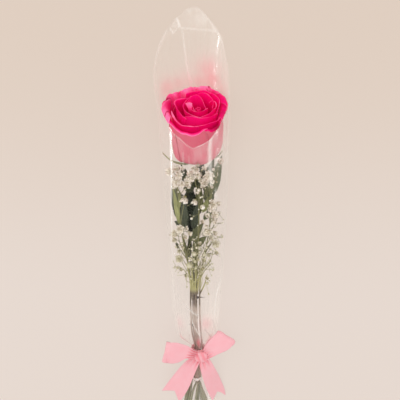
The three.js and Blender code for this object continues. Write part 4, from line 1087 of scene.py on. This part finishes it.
# A flower is (across, along, up, radius, kind), and a point of a stalk is (across, along, up, radius).
SPRAYS = {
    "spray_left": {
        "seed": 11, "sprigs": 15, "lean": -6,
        "trunk": [(-11, -231, 6), (-8.4, -205, 7), (-3.6, -175, 9.6), (-1.6, -157, 10.8),
                  (-1.8, -147, 10.9), (-5.2, -128, 12.6), (-6.4, -95, 15), (-6.6, -60, 18), (-10, -30, 23),
                  (-15, 0, 28), (-18, 35, 31), (-19, 60, 33)],
        "twigs": [(-23.5, 61, 34), (-18, 72, 39), (-12, 58, 38), (-26, 73, 30),
                  (-12, 43, 37), (-19, 3, 32), (-22, -9, 26), (-14, 15, 34), (-13, -14, 29),
                  (-17, -27, 25), (-20, -41, 22)],
        "flowers": [
            (-26, 78.1, 40.7, 4.5, 0), (-18.8, 82.1, 43.4, 4.2, 1), (-17.8, 76.3, 46.6, 3.8, 0),
            (-19.9, 68.4, 45, 4.5, 0), (-14.3, 66.4, 45.5, 3.6, 0), (-9.7, 68, 45.4, 4, 0),
            (-8.2, 64.3, 45.8, 2.9, 1), (-22.6, 62.6, 42.2, 2.5, 1), (-11.4, 49.1, 42.1, 4.8, 3),
            (-13.7, 84.3, 47.2, 2.7, 1), (-24, 72, 43.2, 2.7, 1), (-16.9, 10.9, 36.8, 4.4, 0),
            (-22.9, 2.5, 30.6, 3.8, 0), (-22.4, -4.5, 29.7, 3.2, 1), (-10.1, 12, 39.1, 2, 1),
            (-7, 7.1, 37.6, 2.9, 1), (-11.7, 2.2, 37.1, 2.6, 1), (-17.8, -17.7, 30.8, 2.5, 1),
            (-17.9, -30, 26.8, 3.8, 0), (-7.2, -36.1, 30.1, 3.4, 2), (-16.4, -41.5, 28.1, 2.4, 1),
            (-11.6, -49.8, 27.4, 2.5, 1), (-20.4, -40.4, 27.8, 1.5, 2), (-24.4, -42.5, 23.9, 0.9, 2),
            (-15, -6.3, 36.6, 1.6, 2), (-13.9, -10.9, 35.8, 1.7, 1), (-21.1, -27.6, 26.9, 1.4, 2),
            (-6.6, -25.9, 33.3, 1.6, 2), (-21.5, -13.7, 30.4, 1.3, 2), (-4.5, -13.3, 35.6, 1.4, 2),
        ],
    },
    "spray_centre": {
        "seed": 23, "sprigs": 16, "lean": 0,
        "trunk": [(4.6, -189, 14), (3.4, -170, 14.4), (3.1, -153, 14.2), (0.9, -128, 16.2),
                  (-0.6, -95, 18.2), (-0.4, -60, 19.6), (1, -30, 24.5), (2.6, 0, 29.5), (3, 35, 34.5),
                  (3, 58, 38)],
        "twigs": [(-3, 73, 43), (2, 79, 45), (2, 63, 41), (10, 74, 41), (13, 60, 38),
                  (3, 47, 39), (-3, -20, 31), (-5, -34, 28), (3, -36, 28)],
        "flowers": [
            (-0.5, 82.5, 47.8, 3.6, 0), (-5.8, 78.5, 47.4, 3.4, 0), (1.3, 76.5, 46.6, 4, 0),
            (-4.1, 73.2, 46.7, 3.4, 0), (4.5, 71.9, 46.7, 3.2, 1), (-2.5, 85.9, 49.3, 2.3, 1),
            (-8.7, 74.6, 47.8, 2.3, 1), (1.5, 88.5, 50.2, 1.7, 1), (7.8, 85, 48.8, 2.7, 1),
            (2.8, 59.5, 45.9, 2, 2), (1.2, 56.7, 45.9, 1.6, 1), (-1.1, 46.2, 42.1, 3.7, 3),
            (6.8, 38.7, 42.4, 2.6, 2), (-4.8, 25.4, 41.6, 1.4, 2), (6.1, 20.4, 39.7, 2.7, 1),
            (2.9, -6.6, 36, 2.2, 1), (0.3, -11.6, 35.9, 1.4, 2), (-2, -20.5, 33.3, 2.6, 2),
            (1.9, -26.5, 32.8, 2.1, 1), (-1.3, -29.9, 32.7, 1.6, 2), (4, -44, 29.1, 2.9, 1),
            (-0.3, -38.5, 31.4, 1.4, 2),
        ],
    },
    "spray_right": {
        "seed": 37, "sprigs": 15, "lean": 6,
        "trunk": [(9.2, -196, 9), (7.8, -172, 9.4), (6.7, -153, 9.6), (4.6, -128, 12), (3.6, -95, 15),
                  (4.4, -60, 18), (8.5, -30, 22.5), (13, 0, 27), (16, 28, 31)],
        "twigs": [(14, 42, 37), (22, 37, 31), (12, 8, 35), (19, -2, 30), (21, 18, 31),
                  (25, 24, 25), (11, -27, 28), (18, -19, 27), (17, -36, 24), (12, -52, 21)],
        "flowers": [
            (12.8, 75.4, 45.3, 5.2, 0), (9.1, 67.9, 45.2, 4.2, 0), (7.8, 63, 45.4, 3.2, 1),
            (15.9, 63.4, 46.4, 2.1, 1), (17.6, 84.3, 49.8, 1.5, 2), (23.9, 89.6, 41.6, 3.6, 1),
            (16.7, 70.2, 46.6, 2.7, 1), (16.4, 40.7, 39.9, 4.8, 0), (22, 42.6, 41.1, 2.9, 1),
            (13.8, 36.4, 40.5, 3.2, 1), (18.9, 27.3, 36.1, 4, 0), (18, 22.5, 38.6, 3.4, 1),
            (10.3, 16.3, 39.5, 2.2, 1), (11.3, 26.5, 38, 3.2, 1), (12.4, 8, 36.4, 4.4, 0),
            (18.7, 6.6, 35.9, 3.2, 1), (15.6, 0.6, 35.8, 3.2, 1), (20.2, -9.7, 30.8, 4, 0),
            (8.6, -20.9, 33.7, 2.1, 2), (13.2, -21.2, 33.7, 2.1, 1), (7.2, -29, 31.6, 2.9, 1),
            (21, -21.8, 28.6, 2.5, 1), (7.2, -39, 30.3, 2.5, 1), (11.5, -52.3, 28.4, 2.1, 1),
            (11.9, -59.1, 27.9, 1.5, 2), (25.8, 29.5, 36.9, 0.8, 2), (28.1, 14.8, 30.5, 0.8, 2),
            (27, 0.1, 30.1, 0.9, 2), (17.6, -33.4, 31.7, 0.9, 2), (17.9, -42.4, 29.8, 0.9, 2),
            (24.6, -22.6, 29.4, 0.7, 2), (10.9, -11.3, 36.1, 1.3, 2), (14.6, -14.2, 34.1, 1.7, 1),
            (13.1, -33.6, 32.6, 0.9, 2),
        ],
    },
}
STALKS = {
    "spray_left": [
        [(-10, -40, 24, 0.6), (-7, -55, 21, 1.1), (-5, -72, 18.6, 1.5), (-3.8, -86, 17, 1.3)],
        [(1, -158, 6, 1.5), (-6.5, -190, 6, 1.6), (-14, -233, 7, 1.7)],
        [(1, -160, 6, 1.3), (-4.5, -190, 5, 1.5), (-9.5, -234, 9, 1.6)],
        [(0, -200, 8, 1.0), (-5, -215, 9.5, 1.4), (-7.5, -236, 11, 1.5)],
    ],
    "spray_centre": [
        [(-6, -34, 26, 0.6), (-4.2, -55, 22, 1.2), (-3.2, -78, 18.6, 1.5)],
        [(0, -38, 25, 0.6), (-0.8, -56, 22, 1.1), (-1.5, -77, 18.8, 1.4)],
        [(2, -200, 9, 1.2), (0, -214, 11, 1.3), (-2.5, -235, 11.5, 1.5)],
    ],
    "spray_right": [
        [(5.5, -42, 24, 0.6), (2.6, -58, 21, 1.1), (0.8, -78, 18, 1.3)],
        [(3, -160, 5, 1.2), (3, -190, 5, 1.3), (1.5, -234, 7, 1.6)],
        [(4, -200, 8, 1.2), (5, -216, 8, 1.4), (6.5, -236, 8.5, 1.5)],
        [(4.5, -201, 9, 1.1), (7.5, -216, 9.5, 1.6), (11, -236, 10, 1.9)],
        [(5, -204, 10, 1.1), (10, -219, 10.5, 1.6), (15, -236, 11, 1.8)],
    ],
}


def within_film(points, margin):
    """Points, moved towards the middle of the sleeve where they are nearer to the film than a margin."""
    middle_x, middle_z, wide, high = np.moveaxis(smooth(SLEEVE_SECTIONS, points[..., 1]), -1, 0)
    off = np.stack([points[..., 0] - middle_x, points[..., 2] - middle_z], axis=-1)
    far = np.hypot(off[..., 0] / (wide - margin), off[..., 1] / (high - margin))
    off = off / np.maximum(far, 1)[..., None]
    return np.stack([middle_x + off[..., 0], points[..., 1], middle_z + off[..., 1]], axis=-1)


def small_mesh(name, points, faces, green):
    """A flower's or a bud's mesh, with its share of green at each point."""
    mesh = bpy.data.meshes.new(name)
    mesh.from_pydata(points, [], faces)
    tell(mesh, "green", green)
    return mesh


def floret(name, tiers, seed):
    """A flower one unit in radius that faces up: rings of notched petals, (count, reach, low, lift), on a
    green cup."""
    draw = np.random.default_rng(seed)
    points, faces, green = [], [], []
    for tier, (count, reach, low, lift) in enumerate(tiers):
        for n in range(count):
            angle = 2 * np.pi * (n + 0.37 * tier) / count + draw.normal(0, 0.12)
            width = reach * 0.86 * np.pi / count
            rise = lift * draw.uniform(0.3, 1.7)
            flat = np.array([
                (0.06, 0, low), (0.58, width, low + rise * 0.45), (0.97, width * 0.62, low + rise),
                (0.84, 0, low + rise * 0.92), (0.97, -width * 0.62, low + rise * 1.06),
                (0.58, -width, low + rise * 0.5), (0.55, 0, low + rise * 0.34 + 0.03)])
            flat[:, 0] *= reach * draw.uniform(0.8, 1.15)
            along, across = math.cos(angle), math.sin(angle)
            start = len(points)
            points.extend((flat @ np.array([[along, across, 0], [-across, along, 0], [0, 0, 1]])).tolist())
            green.extend([0.45, 0.05, 0, 0, 0, 0.05, 0.12])
            faces.extend([(start + (k + 1) % 6, start + k, start + 6) for k in range(6)])
            faces.append([start + k for k in range(6)])
    start = len(points)
    for radius, height in ((0.34, 0.1), (0.16, -0.42)):
        for turn in 2 * np.pi * np.arange(6) / 6:
            points.append((radius * math.cos(turn), radius * math.sin(turn), height))
    green.extend([0.7] * 6 + [1.0] * 6)
    faces.extend([(start + 6 + k, start + 6 + (k + 1) % 6, start + (k + 1) % 6, start + k)
                  for k in range(6)])
    faces.append([start + k for k in range(6)])
    faces.append([start + 6 + k for k in range(5, -1, -1)])
    return small_mesh(name, points, faces, green)


def bud(name, sides=8, rings=6):
    """A round bud one unit in radius, green below and white above."""
    points, faces, green = [(0, 0, -1.1)], [], [1.0]
    for j in range(1, rings):
        angle = np.pi * j / rings
        reach = math.sin(angle) * (1 - 0.18 * (1 - math.cos(angle)) * (j > rings / 2))
        for turn in 2 * np.pi * np.arange(sides) / sides:
            points.append((reach * math.cos(turn), reach * math.sin(turn), -1.15 * math.cos(angle)))
            green.append(max(0.0, min(1.0, 1.25 - 1.6 * j / rings)))
    points.append((0, 0, 1.15))
    green.append(0.1)
    last = len(points) - 1
    for k in range(sides):
        after = (k + 1) % sides
        faces.append((0, 1 + after, 1 + k))
        for low in range(1, 1 + (rings - 2) * sides, sides):
            faces.append((low + k, low + after, low + sides + after, low + sides + k))
        faces.append((last - sides + k, last - sides + after, last))
    mesh = small_mesh(name, points, faces, green)
    mesh.shade_smooth()
    return mesh


def stalk_through(points, radii, count):
    """A path through a few points with a radius at each of them."""
    return through([(*point, radius) for point, radius in zip(points, radii)], count)


SCATTER = growing_tree(
    "scatter", {"Points": "Geometry", "Shape": "Object"}, {
        "shape": ("GeometryNodeObjectInfo", {}, {}),
        "facing": ("GeometryNodeInputNamedAttribute", {"data_type": "FLOAT_VECTOR"}, {"Name": "facing"}),
        "size": ("GeometryNodeInputNamedAttribute", {"data_type": "FLOAT"}, {"Name": "size"}),
        "turn": ("FunctionNodeAlignRotationToVector", {"axis": "Z"}, {}),
        "put": ("GeometryNodeInstanceOnPoints", {}, {}),
    }, [
        ("given", "Shape", "shape", "Object"), ("facing", "Attribute", "turn", "Vector"),
        ("given", "Points", "put", "Points"), ("shape", "Geometry", "put", "Instance"),
        ("turn", 0, "put", "Rotation"), ("size", "Attribute", "put", "Scale"), ("put", 0, "real", 0),
    ])


def scattered(name, shape, heads, material):
    """One mesh of a small shape at many places; heads are rows of (place, facing, size)."""
    heads = np.array(heads)
    base = bpy.data.meshes.new(name)
    base.from_pydata((heads[:, :3] * MM).tolist(), [], [])
    facing = heads[:, 3:6].astype(np.float32).ravel()
    base.attributes.new("facing", "FLOAT_VECTOR", "POINT").data.foreach_set("vector", facing)
    tell(base, "size", heads[:, 6] * MM)
    holder = bpy.data.objects.new(name + "_shape", shape)
    bpy.context.scene.collection.objects.link(holder)
    mesh = grown(name, base, SCATTER, flat=True, Shape=holder, Material=material)
    bpy.data.objects.remove(holder)
    return mesh


FLOWER_WHITE = (0.97, 0.92, 0.85)
FLOWER_SHADE = (0.42, 0.31, 0.22)
FLOWER_CREAM = (0.58, 0.54, 0.36)
FLOWER_GREEN = (0.34, 0.33, 0.12)
flower_finish = Finish("small_flower")
flower_mottle = flower_finish.grain((520, 520, 520))
flower_along = flower_finish.axis(flower_finish.place(), 1)
flower_tone = flower_finish.coats(
    FLOWER_WHITE, (flower_mottle.between(0.43, 0.66) * 0.9, FLOWER_SHADE),
    ((1 - flower_along.between(-0.035, 0.03)) * 0.75, FLOWER_CREAM),
    (flower_finish.told("green"), FLOWER_GREEN))
# A faint glow of the flowers' own colour is painted light that brightens them.
flower_material = flower_finish.done(
    Base_Color=flower_tone, Roughness=flower_mottle * 0.2 + 0.5, Specular_IOR_Level=0.2,
    Emission_Color=flower_tone, Emission_Strength=0.04)
TWIG_DARK = (0.085, 0.09, 0.03)
TWIG_LIGHT = (0.46, 0.43, 0.20)
TWIG_BROWN = (0.13, 0.085, 0.075)
TWIG_SKIRT = (0.24, 0.235, 0.14)
twig_finish = Finish("twig")
twig_grain = twig_finish.grain((300, 30, 300))
twig_along = twig_finish.axis(twig_finish.place(), 1)
# Up among the flowers and leaves the twigs are painted darker as shade; low in the sleeve they take the
# same painted haze as the stem.
twig_tone = twig_finish.coats(
    TWIG_DARK, ((1 - twig_along.between(-0.065, -0.01) * 0.6) * (twig_grain * 0.7 + 0.6), TWIG_LIGHT),
    ((1 - twig_along.between(-0.077, -0.070)) * 0.85, TWIG_BROWN), *hazed_low_down(twig_along),
    (1 - twig_along.between(-0.195, -0.17), TWIG_SKIRT))
twig_material = twig_finish.done(
    Base_Color=twig_tone, Roughness=twig_grain * 0.2 + 0.4, Specular_IOR_Level=0.3)

OPEN_TIERS = [(6, 1.05, 0.0, 0.3), (5, 0.85, 0.1, 0.55), (4, 0.55, 0.22, 0.75)]
HALF_TIERS = [(5, 0.8, -0.05, 0.75), (4, 0.62, 0.1, 0.9), (3, 0.4, 0.2, 0.95)]
CUP_TIERS = [(9, 1.1, -0.15, 0.7), (7, 0.85, -0.1, 0.75), (5, 0.5, 0.0, 0.6)]
FLOWERS = {"open": floret("open_flower", OPEN_TIERS, 3), "half": floret("half_flower", HALF_TIERS, 4),
           "bud": bud("flower_bud"), "cup": floret("cup_flower", CUP_TIERS, 6)}
BUD, CUP = 2, 3
CUP_FACING = unit(np.array([-0.25, -0.75, 0.6]))
for name, plan in SPRAYS.items():
    draw = np.random.default_rng(plan["seed"])
    trunk = through([(*point, TRUNK_RADIUS) for point in plan["trunk"]], 120)
    trunk[:, 3] *= np.linspace(1, 0.55, 120)
    paths = [trunk, *(through(stalk, 40) for stalk in STALKS[name])]
    heads, twigs = [[] for kind in FLOWERS], []
    for tip in plan["twigs"]:
        tip = np.array(tip, float)
        start = at_height(trunk, tip[1] - draw.uniform(*TWIG_DROP))
        bend = start * 0.45 + tip * 0.55 + draw.normal(0, 1.5, 3)
        twigs.append(stalk_through((start, bend, tip), TWIG_RADII, 16))
    joints = np.concatenate([twig[4:14] for twig in twigs])
    for x, y, z, size, kind in plan["flowers"]:
        place = within_film(np.array([x, y, z], float), size + 0.9)
        apart = np.linalg.norm(joints[:, :3] - place, axis=1) + np.where(joints[:, 1] > place[1] - 2, 40, 0)
        root = joints[np.argmin(apart), :3]
        away = unit(place - root) * (0.5 if kind < BUD else 1.0)
        facing = unit(away + draw.normal(0, FLOWER_NOD, 3) + FLOWER_UP)
        if kind == CUP:
            facing = CUP_FACING
        heads[kind].append((*place, *facing, size * FLOWER_GROW))
        foot = place - facing * size * 0.4
        bend = root * 0.4 + foot * 0.6 - facing * 0.8 + draw.normal(0, 0.5, 3)
        paths.append(stalk_through((root, bend, foot), FLOWER_STALK, 8))
        for extra in range(draw.integers(1, 4)):
            spot = within_film(place + draw.normal(0, 1, 3) * BUD_STRAY - BUD_DROP, 2.0)
            start = root * 0.5 + foot * 0.5
            bend = start * 0.4 + spot * 0.6 - (0, 0.5, 0)
            heads[BUD].append((*spot, *unit(spot - start), draw.uniform(*BUD_SIZES)))
            paths.append(stalk_through((start, bend, spot), BUD_STALK, 6))
    for sprig in range(plan["sprigs"]):
        y = draw.uniform(*SPRIG_PLACES)
        x = plan["lean"] + draw.uniform(-1, 1) * np.interp(y, SPRIG_PLACES, SPRIG_SPREAD)
        spot = within_film(np.array([x, y, draw.uniform(*SPRIG_HEIGHTS)]), 2.2)
        start = at_height(trunk, y - draw.uniform(*SPRIG_DROP))
        bend = start * 0.5 + spot * 0.5 + draw.normal(0, 1.5, 3)
        paths.append(stalk_through((start, bend, spot), SPRIG_STALK, 10))
        heads[BUD].append((*spot, *unit(spot - bend), draw.uniform(*SPRIG_SIZES)))
    show_rods(name + "_twigs", paths + twigs, 7, twig_material, "spray", name)
    for (kind, shape), rows in zip(FLOWERS.items(), heads):
        if rows:
            flowers = scattered(f"{name}_{kind}", shape, rows, flower_material)
            show(f"{name}_{kind}", flowers, flower_material, "spray", name)

# The bow: one length of satin ribbon, tied round the gathered film, with two loops, a knot and two tails
# that are cut to swallow tails. The cloth bunches in folds where the knot pinches it.
RIBBON_WIDTH = 25
RIBBON_WALL = 0.3
RIBBON_LOWEST = 1.2
PINCH_WIDTH = 17
FOLD_DEPTH = 2.6
RIBBONS = {
    "bow_left_loop": {"folds": 4, "phase": 0.4, "crown": 2.6, "crown_turn": 1.5},
    "bow_right_loop": {"folds": 4, "phase": 1.9, "crown": 2.6, "crown_turn": 5},
    "bow_left_tail": {"folds": 3, "phase": 2.8, "swallow": 12.5},
    "bow_right_tail": {"folds": 3, "phase": 0.9, "swallow": 9.5, "slant": 4.75},
}
STRIPS = {
    "bow_left_loop": [
        (3, -153, 25, 9, 0, 1, 0), (-5, -149, 29, 11, 0, 1, 0), (-12, -146, 30.5, 18, 0.03, 1, 0),
        (-21, -145.5, 31.5, 25.4, 0.1, 1, 0), (-30, -146.2, 30.8, 26, 0.19, 1, 0),
        (-35.8, -147.2, 27.4, 24, 0.19, 1, 0), (-32, -150.9, 23, 21.5, 0.18, 1, 0.05),
        (-21, -152.4, 20.8, 17, 0.08, 1, 0), (-8, -153.8, 19.8, 9, 0, 1, 0), (3, -155, 19.5, 7, 0, 1, 0),
    ],
    "bow_right_loop": [
        (8, -153.5, 25, 9, -0.2, 1, 0), (12.2, -148.4, 28.5, 12.5, -0.3, 0.95, 0),
        (18.5, -139.4, 32, 18.5, -0.42, 0.9, 0), (27.3, -131, 33.5, 24, -0.62, 0.78, 0),
        (33.6, -124.6, 32, 23.5, -0.82, 0.57, 0), (33.6, -126.6, 28, 23.3, -0.82, 0.57, 0),
        (27, -135, 25, 22, -0.62, 0.78, 0), (18, -143.4, 22.8, 17, -0.42, 0.9, 0),
        (12, -150.5, 21.2, 11, -0.3, 0.95, 0), (7, -155, 20.5, 7, -0.2, 1, 0),
    ],
    "bow_left_tail": [
        (4.5, -155, 21, 8, -0.9, 0.4, 0), (-3, -163, 22.5, 13.5, -0.9, 0.4, -0.1),
        (-11, -177.5, 21.5, 18.5, -0.86, 0.38, -0.3), (-19.2, -196.5, 16.8, 23, -0.82, 0.38, -0.38),
        (-30, -220, 8.8, 24.5, -0.8, 0.37, -0.25),
    ],
    "bow_right_tail": [
        (6.5, -155, 21, 8, -0.9, -0.3, 0), (9.5, -164, 22.4, 13, -0.85, -0.35, 0.2),
        (14, -179, 20.5, 18, -0.75, -0.3, 0.5), (19.5, -198, 15.2, 22, -0.68, -0.2, 0.66),
        (25.2, -215.5, 10.6, 22, -0.66, -0.1, 0.7), (26.6, -224.8, 9.5, 22, -0.66, -0.1, 0.7),
    ],
}
KNOT_MIDDLE = np.array([6, -154, 25])
KNOT_HALF = np.array([7.8, 6.4, 4.6])
KNOT_CORE = 0.9
KNOT_FOLD = 0.13
KNOT_CREASE = 0.05
TIE_MIDDLE = (2.5, -154.5, 10)
TIE_HALF = (7.6, 7.4)
TIE_WIDTH = 7
TIE_WALL = 0.5
TIE_FOLD = 0.35
TIE_LOWEST = 1.3


def strip(rows, folds, phase, swallow=0, slant=0, crown=0, crown_turn=1, steps=96, columns=32):
    """A ribbon along rows of (x, y, z, width, side), and its length. Where it is narrower than it was cut,
    it stands in folds. Its end has a notch as deep as swallow and slants from side to side. A loop's far
    end bulges in the middle by its crown."""
    line = through(rows, 240)
    run = run_along(line)
    v = np.linspace(-1, 1, columns)
    t = np.linspace(0, 1, steps)[:, None] * (1 - (swallow * (1 - np.abs(v)) + slant * (v + 1)) / run[-1])
    along = unit(np.gradient(line[:, :3], axis=0))
    side = unit(line[:, 4:7] - along * np.sum(line[:, 4:7] * along, axis=1, keepdims=True))
    out = np.cross(side, along)
    centre, width, side, out = (
        np.stack([np.interp(t * run[-1], run, column) for column in value.reshape(240, -1).T], axis=-1)
        for value in (line[:, :3], line[:, 3], side, out))
    tight = np.sqrt(np.maximum((RIBBON_WIDTH / width) ** 2 - 1, 0))
    pinch = np.clip((PINCH_WIDTH - width) / 8, 0, 1)
    depth = np.minimum(width / (np.pi * folds) * tight * 0.75, FOLD_DEPTH) * pinch
    fold = np.cos(np.pi * folds * v + phase + 1.5 * t) + 0.4 * np.cos(2.3 * np.pi * folds * v + 2 * phase)
    fold = fold[..., None]
    ripple = 0.5 * np.sin(7 * t + 2 * v + phase)[..., None] * (1 - np.minimum(tight, 1))
    face = centre + side * (v[:, None] * width / 2) + out * (depth * fold + ripple)
    reach = unit(line[120, :3] - line[0, :3])
    turn = np.exp(-((t - 0.5) / np.where(t < 0.5, 0.12, 0.2)) ** 2)[..., None]
    face = face - reach * (crown * np.abs(v)[:, None] ** crown_turn * turn)
    face[..., 2] = np.maximum(face[..., 2], RIBBON_LOWEST)
    # Where the knot pinches the ribbon, its fold valleys are painted deeper pink as shade.
    fold_shade = np.clip(pinch[..., 0] * (0.6 - 0.9 * fold[..., 0]), 0, 1.4)
    return sheet(face, face - out * RIBBON_WALL, pinch=fold_shade), run[-1] - slant


RIBBON_PINK = (0.89, 0.495, 0.545)
RIBBON_FOLD_SHADE = (0.92, 0.18, 0.24)
satin_finish = Finish("satin")
satin_weave = satin_finish.node(
    "TexWave", {"wave_type": "BANDS", "bands_direction": "X"},
    {"Vector": satin_finish.lay((60, 4, 1)), "Scale": 1.0, "Distortion": 1.5, "Detail": 2.0}, take=1)
satin_cloud = satin_finish.noise(satin_finish.lay((3, 6, 1)))
# The deeper pink is painted shade in the folds, mixed with a soft cloud of uneven colour.
satin_shade_and_cloud = satin_finish.told("pinch") * 0.55 + satin_cloud * 0.3
satin_tone = satin_finish.mix(satin_shade_and_cloud, RIBBON_PINK, RIBBON_FOLD_SHADE)
satin_material = satin_finish.done(
    Base_Color=satin_tone, Roughness=satin_cloud * 0.1 + 0.33, Sheen_Weight=0.3, Sheen_Roughness=0.4,
    Normal=satin_finish.bump(satin_weave, 0.0001, 0.4))
for name, cut in RIBBONS.items():
    ribbon, length = strip(STRIPS[name], **cut)
    piece = show(name, [ribbon], satin_material, "ribbon", "bow")
    length * MM

knot_round = np.linspace(0, 2 * np.pi, 48, endpoint=False)[None]
knot_along = np.linspace(-1, 1, 23)[:, None] * np.pi / 2
knot_bulge = np.cos(knot_along) ** 0.4
knot_across = np.cos(knot_round) * knot_bulge
knot_folds = 1 + KNOT_FOLD * np.cos(7 * knot_across + 0.8 + 2.4 * np.sin(knot_along)) * knot_bulge
knot_folds = knot_folds + KNOT_CREASE * np.cos(21 * knot_across - 2 * knot_along)
knot_off = KNOT_HALF * np.stack(np.broadcast_arrays(
    knot_across * knot_folds, np.sin(knot_along), np.sin(knot_round) * knot_bulge * knot_folds), axis=-1)
# The knot's fold valleys are painted deeper pink as shade.
knot = sheet(KNOT_MIDDLE + knot_off, KNOT_MIDDLE + knot_off * KNOT_CORE, wrapped=True,
             pinch=np.clip(0.45 - 4.5 * (knot_folds - 1), 0, 1.3))
show("bow_knot", [knot], satin_material, "ribbon", "bow")

tie_around = np.linspace(0, 2 * np.pi, 80, endpoint=False)[None]
tie_across = np.linspace(-1, 1, 15)[:, None]
tie_push = TIE_FOLD * np.cos(3.5 * np.pi * tie_across + np.sin(2 * tie_around))


def tie_face(out):
    """The ribbon's face round the film's waist, moved so far out."""
    wide, high = (half + tie_push + out for half in TIE_HALF)
    face = round_rose(TIE_MIDDLE, tie_around, wide, high, tie_across * TIE_WIDTH / 2)
    face[..., 2] = np.maximum(face[..., 2], TIE_LOWEST - out)
    return face


tie = sheet(tie_face(TIE_WALL), tie_face(0), wrapped=True, pinch=0.8)
show("bow_tie", [tie], satin_material, "ribbon", "bow")
